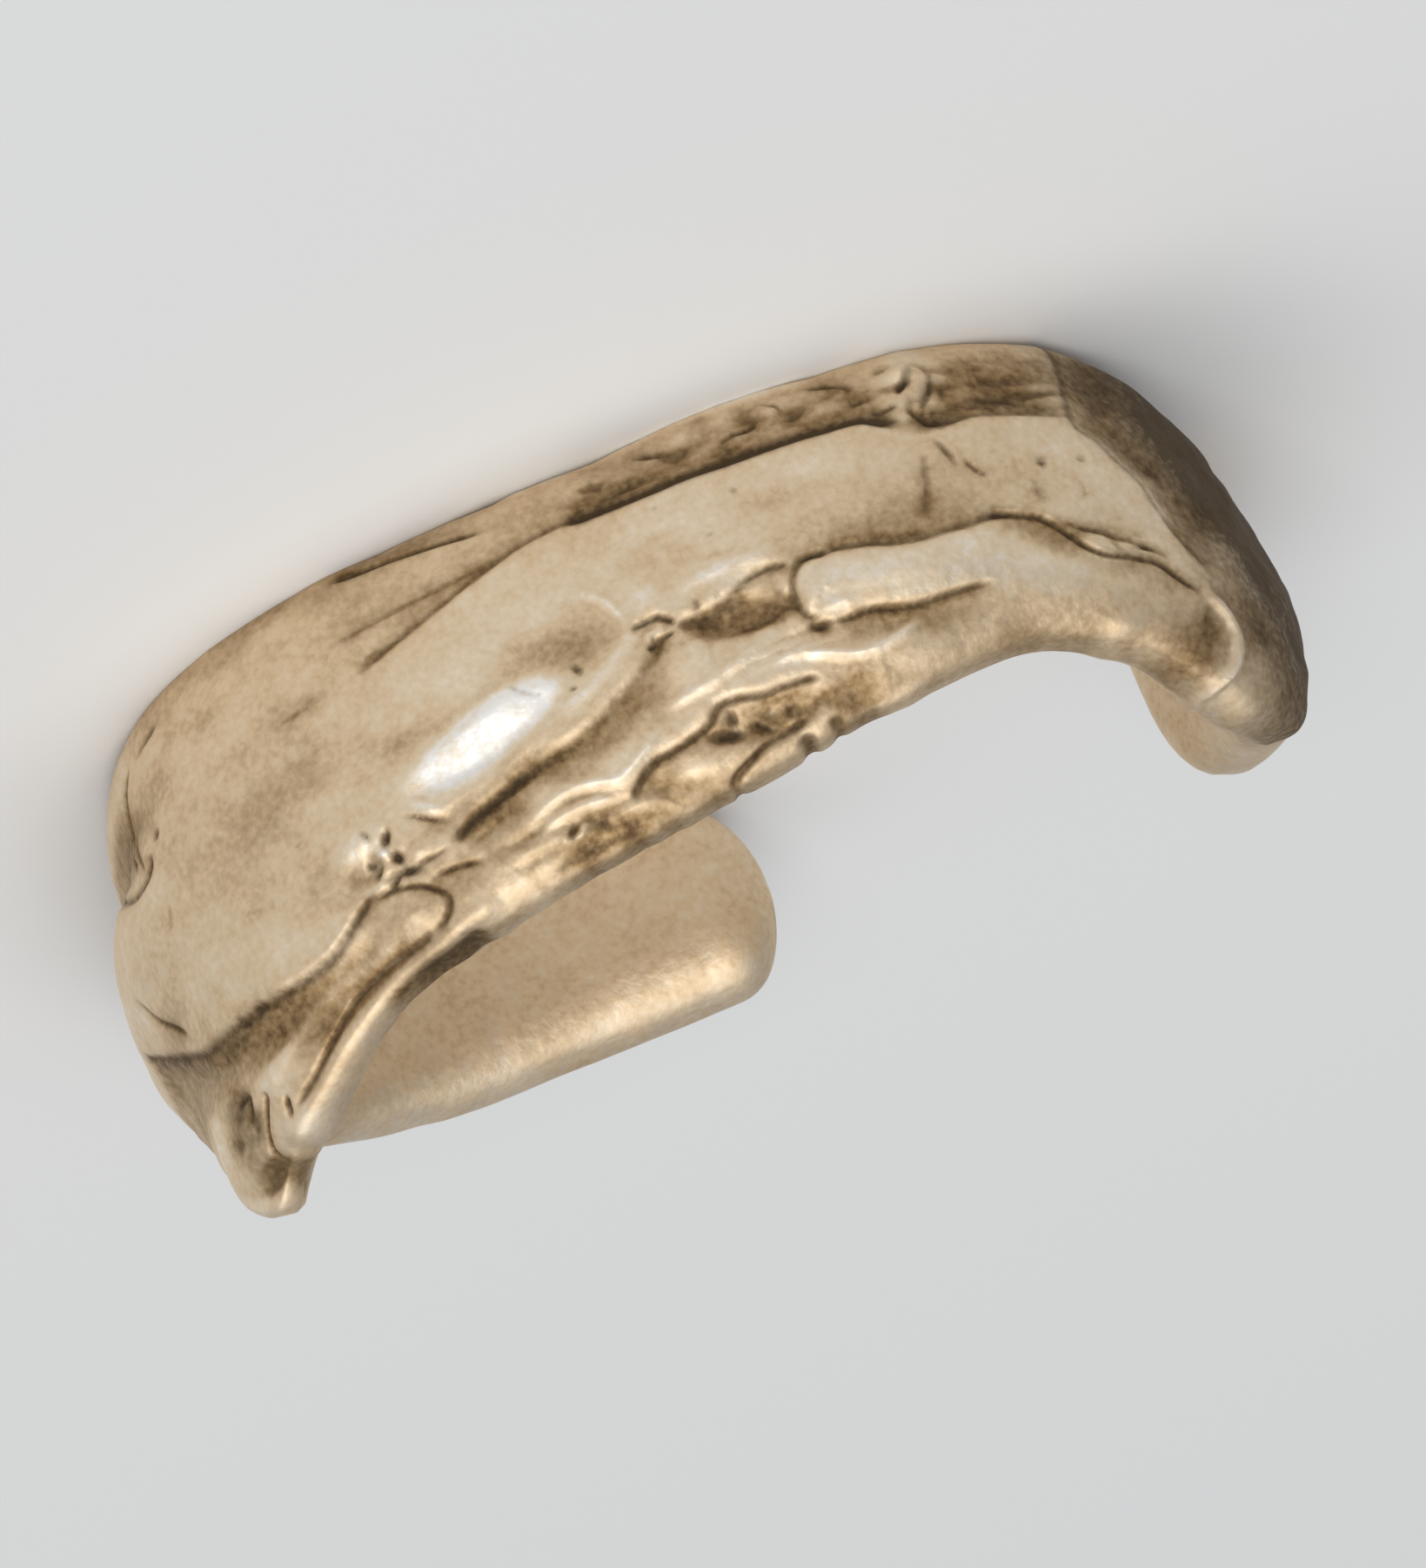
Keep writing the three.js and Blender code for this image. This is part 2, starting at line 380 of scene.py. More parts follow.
@dataclass(frozen=True)
class Swell:
    """An oval hill, hollow, tilted facet or patch of colour. Its colour is partly patina and partly painted
    light: painted shade in hollows, under overhangs and on the turned side, painted highlights on the bright
    facet and the junction.

    Its weight is a bell of the set power, so that a higher power gives a flatter middle and a sharper edge.
    The height it adds is ``height``, and ``tilt`` times how far the place is towards the resting rim.
    """

    name: str
    along: float
    up: float
    half_along: float
    half_up: float
    height: float = 0.0
    turn: float = 0.0
    power: float = 2.0
    tilt: float = 0.0
    stain_and_shade: float = 0.0
    wash: float = 0.0

    def oval(self, skin: Skin) -> Array:
        """Gives the weight of each place: 1 at the middle, falling off as a bell of the set power.

        Args:
            skin: The skin whose places are weighed.

        Returns:
            The weights on the grid.
        """
        cos, sin = math.cos(math.radians(self.turn)), math.sin(math.radians(self.turn))
        x, y = skin.along - self.along, skin.up - self.up
        far = np.hypot((x * cos + y * sin) / self.half_along, (y * cos - x * sin) / self.half_up)
        return np.exp(-(far**self.power))

    def press(self, skin: Skin) -> None:
        """Adds the oval's height, its dark stain and its wash, which are partly patina and partly painted
        light and shade.

        Args:
            skin: The skin to press into.
        """
        weight = self.oval(skin)
        skin.height += (self.height + self.tilt * (self.up - skin.up)) * weight
        skin.stain_and_shade += self.stain_and_shade * weight
        skin.wash += self.wash * weight


@dataclass(frozen=True)
class Crumple:
    """A patch where the wax is crumpled like foil: flat facets between straight creases, inside an oval.

    Pleats that lie below ``low`` are painted dark, partly as patina and partly as the shade in them. The
    darkness eases in over ``low_ease``.
    """

    name: str
    patch: Swell
    cell_along: float
    cell_up: float
    seed: int
    creases: int = 5
    waviness: float = 0.25
    low: float = 0.42
    low_ease: float = 0.15

    def press(self, skin: Skin) -> None:
        """Adds the crumples.

        They are the mean of a few sets of straight pleats. Each set is a triangle wave in its own direction,
        its lines bent a little by soft random hills.

        Args:
            skin: The skin to press into.
        """
        rng = np.random.default_rng(self.seed)
        bend = Grain(self.seed, 2.0 * self.cell_along, 2.0 * self.cell_up, 1).at(skin.along, skin.up)
        pleats = np.zeros_like(skin.along)
        for turn in (np.arange(self.creases) + rng.uniform(0.0, 0.8, self.creases)) * math.pi / self.creases:
            across = skin.along / self.cell_along * math.cos(turn) + skin.up / self.cell_up * math.sin(turn)
            phase = rng.uniform(0.5, 0.8) * across + rng.uniform() + self.waviness * bend
            pleats += np.abs(2.0 * (phase - np.floor(phase)) - 1.0) / self.creases
        weight = self.patch.oval(skin)
        skin.height += self.patch.height * weight * 2.0 * (pleats - 0.5)
        dark = np.clip((self.low - pleats) / self.low_ease, 0.0, 1.0)
        skin.stain_and_shade += self.patch.stain_and_shade * weight * dark
        skin.wash += self.patch.wash * weight * dark


@dataclass(frozen=True)
class Inset:
    """One row of a bend's profile: a height, and how far in the wax stands there."""

    up: float
    depth: float


@dataclass(frozen=True)
class Bend:
    """The profile of a bend: how far in the wax stands at each height, the same all along it."""

    name: str
    along: float
    half_along: float
    rows: tuple[Inset, ...]
    power: float = 5.0

    def press(self, skin: Skin) -> None:
        """Carries a smooth line through the rows and eases it in and out along the band.

        Args:
            skin: The skin to press into.
        """
        rows = np.array([(row.up, row.depth) for row in self.rows])
        depth = through_rows(np.clip(skin.up, rows[0, 0], rows[-1, 0]), rows[:, 0], rows[:, 1])
        window = np.exp(-(np.abs((skin.along - self.along) / self.half_along) ** self.power))
        skin.height -= depth * window


WIDE_BEND_INSETS = (
    Inset(-0.1, 0.20),
    Inset(0.3, 0.24),
    Inset(0.7, 0.32),
    Inset(1.05, 0.46),
    Inset(1.4, 0.52),
    Inset(1.8, 0.30),
    Inset(2.2, 0.14),
    Inset(2.9, 0.12),
    Inset(3.5, 0.22),
    Inset(4.0, 0.34),
    Inset(4.6, 0.38),
    Inset(5.5, 0.30),
    Inset(7.0, 0.20),
)

BENDS = (Bend("wide bend", 11.4, 4.2, WIDE_BEND_INSETS),)

# A swell's stain and wash paint colour on the chart: partly patina, partly painted shade where it lies in a
# hollow or under an overhang, and a painted highlight where the wash is below nothing.
SWELLS = (
    Swell("main lobe", 5.9, 3.4, 2.4, 1.5, 0.05),
    Swell("brown of the wide part", 6.6, 2.6, 3.0, 2.6, wash=0.22),
    Swell("thumb hollow", 0.9, 2.65, 0.85, 0.45, -0.07, turn=-8.0, wash=-0.12),
    Swell("swelling before the facet", 1.9, 2.35, 1.2, 0.5, 0.05, turn=8.0, wash=-0.15),
    # Painted highlight: the wash paints the facet near white, besides the tilt that turns it to the light.
    Swell("bright facet", 2.2, 3.47, 1.1, 0.38, -0.02, turn=15.0, power=5.0, tilt=0.36, wash=-2.2),
    Swell("slope under the facet", 2.5, 4.15, 0.9, 0.2, -0.10, turn=10.0, power=3.0),
    # Painted shade, partly patina: browner on the shelf under the lip.
    Swell("shelf under the middle fold", -1.5, 3.28, 0.7, 0.26, -0.13, turn=-8.0, power=4.0, wash=0.45),
    # Painted shade, partly patina: browner in the hollow over the finger.
    Swell("hollow over the finger", -3.3, 2.9, 0.75, 0.1, -0.03, turn=-8.0, power=4.0, wash=0.35),
    Swell("finger", -3.5, 3.42, 1.5, 0.30, 0.10, turn=-7.0, wash=-0.3),
    Swell("long end of the finger", -5.4, 4.0, 1.7, 0.5, 0.08, turn=-12.0, wash=-0.05),
    # Painted shade, partly patina: browner under the long end of the finger.
    Swell("brown of the long end", -5.0, 4.4, 1.8, 0.3, wash=0.35),
    # Painted shade, partly patina: browner on the lower layer under the main fold.
    Swell("lower layer by the toe", 5.6, 5.5, 1.7, 0.35, -0.07, turn=-18.0, wash=0.45),
    Swell("tongue", 4.2, 5.12, 0.85, 0.2, 0.07, turn=-8.0, wash=0.3),
    Swell("hollow of the patch", -1.35, 4.72, 0.68, 0.24, -0.10, power=4.0, stain_and_shade=0.05, wash=0.05),
    # Painted shade, partly patina: browner in the hollow beyond the patch.
    Swell("hollow beyond the patch", -2.4, 4.78, 0.36, 0.3, -0.07, wash=0.75),
    Swell("knob before the patch", -0.15, 4.9, 0.3, 0.18, 0.05, wash=-0.2),
    Swell("strip on the resting rim", -1.9, 0.5, 2.4, 0.42, -0.06, power=4.0, wash=0.15),
    Swell("inner strip", -5.8, 0.85, 1.2, 0.6, -0.08, power=3.0, stain_and_shade=0.15, wash=0.65),
    Swell("shade of the inner strip", -5.6, 1.33, 0.75, 0.12, -0.03, turn=-10.0, power=3.0, stain_and_shade=0.3),
    Swell("shade by the knot", -4.6, 1.4, 0.4, 0.18, -0.05, power=3.0, stain_and_shade=0.4, wash=0.5),
    Swell("dark start of the strip", -0.55, 0.72, 0.5, 0.14, -0.04, power=3.0, stain_and_shade=0.4, wash=0.4),
    # Painted shade and a painted dark reflection: the side that turns away is painted dark brown.
    Swell("turned side, upper part", -9.0, 1.2, 2.3, 2.0, -0.08, power=4.0, stain_and_shade=1.5, wash=0.9),
    Swell("turned side, lower part", -9.8, 3.9, 2.3, 2.8, -0.02, power=4.0, stain_and_shade=1.5, wash=0.8),
    # Painted shade, partly patina: darker inside the narrow rim.
    Swell("inside of the narrow rim", -7.0, 5.3, 0.45, 0.5, -0.06, power=3.0, stain_and_shade=0.25, wash=0.6),
    Swell("free rim, brown", -4.6, 4.85, 2.8, 0.3, wash=0.6),
    Swell("resting rim of the wide part", 4.0, 0.15, 3.2, 0.35, wash=0.5),
    Swell("free rim by the toe", 3.2, 5.85, 1.6, 0.25, stain_and_shade=0.15, wash=0.7),
    Swell("free rim, faint brown", 0.0, 5.2, 5.0, 0.45, wash=0.2),
    Swell("free rim by the patch", 0.2, 5.3, 2.2, 0.3, wash=0.6),
    # Painted highlight: the wash paints the junction paler, besides the tilt that turns it to the light.
    Swell("junction", 4.15, 4.1, 0.32, 0.28, 0.02, power=3.0, tilt=0.4, wash=-0.5),
    Swell("nugget", 3.4, 4.35, 0.36, 0.16, 0.03, power=3.0, wash=0.35),
    Swell("knot", -4.6, 0.6, 0.26, 0.34, 0.09, wash=-0.3),
    Swell("smudge in the middle", -1.5, 2.36, 0.26, 0.08, -0.015, turn=-8.0, wash=0.35),
    Swell("bump by the free rim", -6.15, 4.7, 0.22, 0.12, 0.06, wash=-0.3),
    # Painted shade, partly patina: darker in the hollow of the tip and on its dark side.
    Swell("hollow of the tip", 7.75, 6.72, 0.4, 0.22, -0.16, power=3.0, stain_and_shade=0.7, wash=0.9),
    Swell("dark side of the tip", 7.7, 6.0, 0.5, 0.6, -0.05, power=3.0, stain_and_shade=0.45, wash=0.9),
    # Painted shade, partly patina: darker in the groove of the waist.
    Swell("waist, dark", 8.3, 1.6, 1.0, 0.4, stain_and_shade=0.2, wash=0.4),
)

FOLDS = (
    Fold("faint strip seam", ((3.6, 1.18), (3.05, 1.15), (2.05, 1.12), (1.5, 1.1), (1.0, 1.02)), 0.02,
         0.045, stain_and_shade=0.36, wash=0.3),
    Fold("strip seam, thin end", ((3.5, 1.8), (2.85, 1.62), (2.0, 1.38), (1.35, 1.17), (0.85, 1.02),
         (0.35, 0.96), (-0.1, 0.97)), 0.045, 0.055, over=Over.FREE_SIDE, lift=0.019, drop=0.03, taper=0.5,
         stain_and_shade=0.52),
    Fold("chevron at its end", ((3.1, 1.5), (3.25, 1.62), (2.75, 1.56)), 0.02, 0.04, stain_and_shade=0.32),
    Fold("strip seam", ((0.3, 0.95), (-0.1, 0.97), (-0.55, 1.0), (-1.0, 1.02), (-1.55, 1.02),
         (-2.1, 1.05), (-3.15, 1.05), (-3.7, 1.07), (-3.95, 1.17), (-4.3, 1.38)), 0.11, 0.10,
         over=Over.FREE_SIDE, lift=0.033, drop=0.07, stain_and_shade=1.7, wash=0.68),
    Fold("strip seam to the narrow bend", ((-4.3, 1.38), (-4.75, 1.45), (-5.2, 1.45), (-6.0, 1.57),
         (-6.5, 1.62)), 0.04, 0.06, over=Over.FREE_SIDE, lift=0.033, drop=0.06, stain_and_shade=0.48, wash=0.6),
    Fold("slit in the resting rim", ((3.4, 0.18), (2.8, 0.27), (2.35, 0.33), (1.7, 0.46), (1.15, 0.54)),
         0.06, 0.045, over=Over.FREE_SIDE, drop=0.04, stain_and_shade=0.88),
    Fold("nick in the resting rim", ((-0.85, 0.2), (-1.15, 0.4), (-1.6, 0.5)), 0.06),
    Fold("strip, first crack", ((-1.9, 0.72), (-2.2, 0.62), (-2.45, 0.6), (-2.7, 0.35)), 0.05, 0.04),
    Fold("strip, second crack", ((-2.6, 0.2), (-2.9, 0.4), (-2.95, 0.65)), 0.05, 0.04, stain_and_shade=0.64),
    Fold("strip, third crack", ((-3.2, 0.25), (-3.6, 0.28), (-3.85, 0.45), (-3.7, 0.65)), 0.05, 0.04),
    Fold("strip, dark end", ((-3.6, 0.85), (-3.9, 0.75), (-4.15, 0.9)), 0.08, 0.08),
    Fold("knot, first crack", ((-4.25, 0.95), (-4.45, 0.75), (-4.62, 0.55), (-4.7, 0.3)), 0.07, 0.045),
    Fold("knot, second crack", ((-4.9, 0.5), (-4.78, 0.85), (-4.6, 1.1), (-4.45, 1.35)), 0.06),
    Fold("knot, third crack", ((-3.9, 0.95), (-4.1, 1.05), (-4.35, 1.0)), 0.06, taper=0.1),
    Fold("knot, tail", ((-4.35, 1.0), (-4.42, 1.2), (-4.58, 1.38), (-4.85, 1.46))),
    Fold("smear on the inner strip", ((-5.15, 1.1), (-5.5, 1.18), (-5.95, 1.36)), 0.03, 0.06, stain_and_shade=0.56),
    Fold("arc on the inner strip", ((-5.9, 0.78), (-6.05, 0.72), (-6.2, 0.8)), 0.02, 0.035, stain_and_shade=0.48),
    Fold("edge of the narrow bend", ((-6.85, -0.1), (-6.75, 0.5), (-6.62, 0.95), (-6.44, 1.4),
         (-6.37, 1.8), (-6.55, 2.05), (-6.7, 2.42), (-6.9, 2.8), (-7.0, 3.12), (-7.25, 3.62),
         (-7.55, 4.1)), 0.02, 0.06, over=Over.FREE_SIDE, lift=0.02, drop=0.12, slope=0.5, reach=0.7,
         stain_and_shade=0.6, wash=0.6),
    Fold("main fold", ((10.2, 3.1), (9.4, 3.62), (8.7, 4.08), (8.1, 4.46), (7.7, 4.7), (7.2, 4.86),
         (6.75, 4.95), (6.2, 5.02), (5.65, 5.1), (5.1, 5.08), (4.7, 4.9), (4.3, 4.66), (4.1, 4.56)), 0.06,
         0.07, over=Over.RESTING_SIDE, lift=0.033, drop=0.16, roll=0.12, slope=0.4, stain_and_shade=0.96, wash=0.6),
    Fold("main fold, hook", ((6.5, 5.08), (6.62, 5.0), (6.7, 4.82)), 0.05, 0.045, taper=0.1),
    Fold("main fold, second hook", ((6.15, 5.05), (6.32, 4.98), (6.5, 5.1)), 0.05, taper=0.1),
    Fold("main fold, lower line", ((7.6, 4.9), (7.0, 5.06), (6.5, 5.12)), 0.03, 0.04, stain_and_shade=0.56),
    Fold("nugget, upper crack", ((3.6, 3.95), (3.4, 3.97), (3.2, 4.12), (2.95, 4.3)), 0.05, 0.035),
    Fold("nugget, lower crack", ((3.75, 4.66), (3.5, 4.6), (3.25, 4.6), (3.0, 4.56)), 0.04, 0.04,
         stain_and_shade=0.7),
    Fold("middle fold, open end", ((3.1, 4.62), (2.9, 4.48), (2.6, 4.37), (2.2, 4.27), (2.0, 4.21),
         (1.75, 4.15)), 0.10, 0.085, over=Over.RESTING_SIDE, lift=0.026, drop=0.08, reach=0.3, taper=0.2,
         stain_and_shade=1.2, wash=0.75),
    Fold("middle fold", ((2.05, 4.22), (1.5, 4.12), (1.1, 4.05), (0.85, 3.96), (0.45, 3.76), (0.15, 3.6),
         (-0.2, 3.36), (-0.5, 3.15)), 0.05, 0.10, over=Over.RESTING_SIDE, lift=0.026, drop=0.06,
         reach=0.5, taper=0.3, stain_and_shade=0.32, wash=0.75),
    Fold("lip, front arch", ((-0.02, 2.97), (-0.2, 2.88), (-0.4, 2.87), (-0.55, 2.96), (-0.6, 3.1)), 0.06,
         0.045, over=Over.RESTING_SIDE, lift=0.03, drop=0.03, reach=0.2, taper=0.12, stain_and_shade=0.9),
    Fold("lip, front line", ((-0.12, 3.28), (-0.35, 3.2), (-0.6, 3.14)), 0.05, 0.035, taper=0.1),
    Fold("lip, upright nick", ((-0.9, 2.78), (-0.96, 2.9), (-0.93, 3.04)), 0.05, 0.045, taper=0.1),
    Fold("lip over the shelf", ((-0.6, 3.14), (-0.85, 3.08), (-1.1, 3.1), (-1.4, 2.98), (-1.65, 2.85),
         (-1.95, 2.8), (-2.25, 2.87)), 0.05, over=Over.RESTING_SIDE, lift=0.04, drop=0.06, reach=0.4,
         taper=0.15, stain_and_shade=0.7),
    Fold("dimple in the lip", ((-1.2, 2.9), (-1.33, 2.87)), 0.05, 0.045, taper=0.06, stain_and_shade=0.72),
    Fold("shelf, front edge", ((-0.62, 3.15), (-0.6, 3.35), (-0.68, 3.55)), 0.03, stain_and_shade=0.32),
    Fold("shelf, lower line", ((-1.2, 3.5), (-1.5, 3.48), (-1.8, 3.47), (-2.05, 3.44)), 0.03, 0.04,
         over=Over.FREE_SIDE, lift=0.026, reach=0.3, stain_and_shade=0.48),
    Fold("line under the shelf", ((-1.5, 3.88), (-1.68, 3.94), (-1.85, 3.97)), 0.04, 0.04, stain_and_shade=0.64),
    Fold("finger, upper seam", ((-2.2, 3.0), (-2.3, 2.86), (-2.65, 2.86), (-2.95, 2.86), (-3.25, 2.93),
         (-3.5, 3.04), (-3.85, 3.1), (-4.1, 3.08), (-4.5, 3.05), (-4.9, 3.0), (-5.2, 3.08)), 0.05,
         over=Over.FREE_SIDE, lift=0.026, drop=0.02, reach=0.5, stain_and_shade=0.52, wash=0.52),
    Fold("finger, nose", ((-2.75, 2.87), (-2.45, 2.86), (-2.26, 2.98), (-2.15, 3.2), (-2.12, 3.42),
         (-2.18, 3.62), (-2.35, 3.74)), 0.05, over=Over.RESTING_SIDE, lift=0.05, reach=0.3, taper=0.15,
         stain_and_shade=0.55),
    Fold("mouth under the nose", ((-2.1, 3.76), (-2.3, 3.83), (-2.5, 3.84)), 0.12, 0.065, taper=0.08),
    Fold("finger, under seam", ((-2.35, 3.82), (-2.65, 3.85), (-2.95, 3.83), (-3.3, 3.92), (-3.55, 3.95),
         (-4.05, 3.92), (-4.6, 3.9)), 0.06, 0.045, over=Over.RESTING_SIDE, lift=0.033, drop=0.05,
         reach=0.35, stain_and_shade=0.72, wash=0.68),
    Fold("seam of the narrow bend", ((-4.6, 3.0), (-4.9, 3.0), (-5.35, 3.14), (-5.6, 3.36), (-5.85, 3.67),
         (-6.1, 3.82), (-6.5, 3.88), (-6.75, 3.98), (-6.95, 4.15), (-7.15, 4.31), (-7.35, 4.42)), 0.06,
         over=Over.RESTING_SIDE, lift=0.02, drop=0.04, reach=0.3, stain_and_shade=0.9, wash=0.68),
    Fold("seam of the narrow bend, upper line", ((-5.5, 3.2), (-5.8, 3.36), (-6.15, 3.52), (-6.45, 3.66),
         (-6.75, 3.8), (-6.95, 3.98)), 0.05, 0.045, stain_and_shade=0.64, wash=0.6),
    Fold("inner edge of the narrow rim", ((-7.25, 4.5), (-7.3, 4.8), (-7.3, 5.2)), 0.05, 0.08, stain_and_shade=0.4),
    Fold("patch, upper seam", ((0.78, 5.1), (0.6, 4.88), (0.3, 4.7), (0.05, 4.67), (-0.3, 4.6),
         (-0.55, 4.5), (-0.7, 4.36), (-0.95, 4.33), (-1.3, 4.42), (-1.55, 4.41), (-1.85, 4.42),
         (-2.1, 4.45)), 0.06, over=Over.RESTING_SIDE, lift=0.039, drop=0.05, reach=0.35, taper=0.2,
         wash=0.6),
    Fold("patch, first crack", ((-1.05, 4.66), (-1.15, 4.8), (-1.3, 4.95)), 0.06, 0.035, taper=0.1),
    Fold("patch, second crack", ((-1.55, 4.62), (-1.53, 4.75), (-1.5, 4.86)), 0.05, 0.035, taper=0.08),
    Fold("patch, lower seam", ((-1.75, 4.86), (-1.5, 4.96), (-1.1, 5.02), (-0.9, 5.1), (-0.6, 5.24),
         (-0.45, 5.36)), 0.07, 0.045, taper=0.1),
    Fold("patch, far edge", ((-2.02, 4.5), (-2.05, 4.7), (-2.0, 4.95)), 0.04, 0.04, stain_and_shade=0.4, wash=0.75),
    Fold("free rim, first crease", ((1.5, 5.0), (1.62, 5.1), (1.76, 5.24)), 0.06, 0.045, taper=0.08),
    Fold("free rim, second crease", ((1.35, 5.02), (1.28, 5.14), (1.1, 5.22)), 0.05, 0.06, taper=0.08),
    Fold("free rim, long crease", ((2.2, 5.5), (1.8, 5.42), (1.2, 5.4), (0.6, 5.4)), 0.03, 0.06,
         stain_and_shade=0.4),
    Fold("free rim, groove by the toe", ((4.5, 5.95), (4.05, 5.8), (3.7, 5.74), (3.4, 5.68), (3.1, 5.62)),
         0.10, 0.08, stain_and_shade=0.88, wash=0.6),
    Fold("tongue, nose", ((4.3, 4.72), (4.0, 4.74), (3.7, 4.84), (3.48, 5.02), (3.4, 5.2), (3.52, 5.36),
         (3.8, 5.5)), 0.05, 0.045, taper=0.2, stain_and_shade=0.7),
    Fold("tongue, tail line", ((3.6, 4.86), (3.3, 4.85), (3.0, 4.9), (2.7, 5.0)), 0.04, 0.04, stain_and_shade=0.7),
    Fold("groove above the toe", ((6.7, 6.36), (6.2, 6.2), (5.85, 6.03), (5.2, 5.7), (4.55, 5.56),
         (4.0, 5.5), (3.6, 5.4)), 0.08, 0.06, stain_and_shade=0.5, wash=0.6),
    Fold("toe, side crease", ((6.85, 5.85), (7.1, 6.1), (7.35, 6.38), (7.47, 6.65)), 0.10, taper=0.12),
    Fold("toe, slit", ((6.62, 6.08), (6.7, 6.22), (6.77, 6.42)), 0.08, 0.045, taper=0.08),
    Fold("tip, dark cut", ((7.75, 5.5), (7.5, 5.62), (7.3, 5.72), (7.42, 5.9), (7.55, 6.1)), 0.08, 0.07),
    Fold("notch of the wide bend", ((9.6, 1.5), (8.8, 1.6), (8.1, 1.95), (7.75, 2.2), (7.5, 2.32),
         (7.2, 2.32), (7.0, 2.22), (6.85, 1.98)), 0.07, over=Over.FREE_SIDE, lift=0.013, drop=0.05,
         reach=0.4, taper=0.25, wash=0.6),
    Fold("notch, first edge", ((6.9, 0.6), (7.25, 0.95), (7.4, 1.32), (7.42, 1.7), (7.35, 2.05)), 0.05,
         0.04, taper=0.25, stain_and_shade=0.9),
    Fold("notch, second edge", ((7.3, 1.45), (7.22, 1.8), (7.12, 2.2)), 0.04, 0.035, taper=0.15),
    Fold("notch, dent", ((6.62, 1.8), (6.7, 1.92), (6.84, 1.97)), 0.06, 0.055, taper=0.1),
    Fold("line of the upper lobe", ((6.2, 0.45), (6.6, 0.62), (6.9, 0.72)), 0.02, stain_and_shade=0.32),
    Fold("line by the wide bend", ((8.6, 3.0), (8.5, 3.35), (8.3, 3.7), (7.95, 4.1), (7.75, 4.35)), 0.05,
         0.04, stain_and_shade=0.72),
    Fold("faint line on the main lobe", ((6.85, 2.7), (6.95, 3.05), (7.2, 3.38)), 0.02, 0.035,
         stain_and_shade=0.36),
    Fold("faint mark on the main lobe", ((6.05, 3.85), (5.8, 3.88), (5.5, 4.0)), 0.02, 0.035, stain_and_shade=0.4),
    Fold("faint line by the junction", ((5.1, 3.45), (4.8, 3.5), (4.6, 3.62)), 0.015, 0.04, stain_and_shade=0.28),
    Fold("tool mark", ((4.7, 1.85), (4.2, 1.82), (3.8, 1.72)), 0.012, 0.04, stain_and_shade=0.28),
    Fold("upright crease by the knot", ((-4.45, 1.6), (-4.6, 1.95), (-4.65, 2.3)), 0.04, stain_and_shade=0.7),
    Fold("second upright crease", ((-4.75, 2.05), (-4.85, 2.3), (-5.0, 2.45)), 0.035, 0.04, taper=0.1,
         stain_and_shade=0.56),
    Fold("upright edge", ((-4.32, 1.75), (-4.22, 2.27), (-4.12, 2.6), (-4.0, 2.95)), 0.03, stain_and_shade=0.4,
         wash=0.4),
    Fold("arc on the plate", ((-5.55, 2.5), (-5.48, 2.8), (-5.68, 3.04)), 0.02, 0.035, stain_and_shade=0.35),
    Fold("second arc on the plate", ((-6.0, 2.6), (-6.07, 2.87), (-5.9, 3.1)), 0.02, 0.035, stain_and_shade=0.35),
    Fold("scratch by the narrow bend", ((-6.1, 2.38), (-6.3, 2.36)), 0.03, 0.04, taper=0.06, stain_and_shade=0.64),
    Fold("arc by the facet", ((1.65, 2.92), (1.55, 3.1), (1.25, 3.3)), 0.02, 0.035, taper=0.1,
         stain_and_shade=0.48),
)

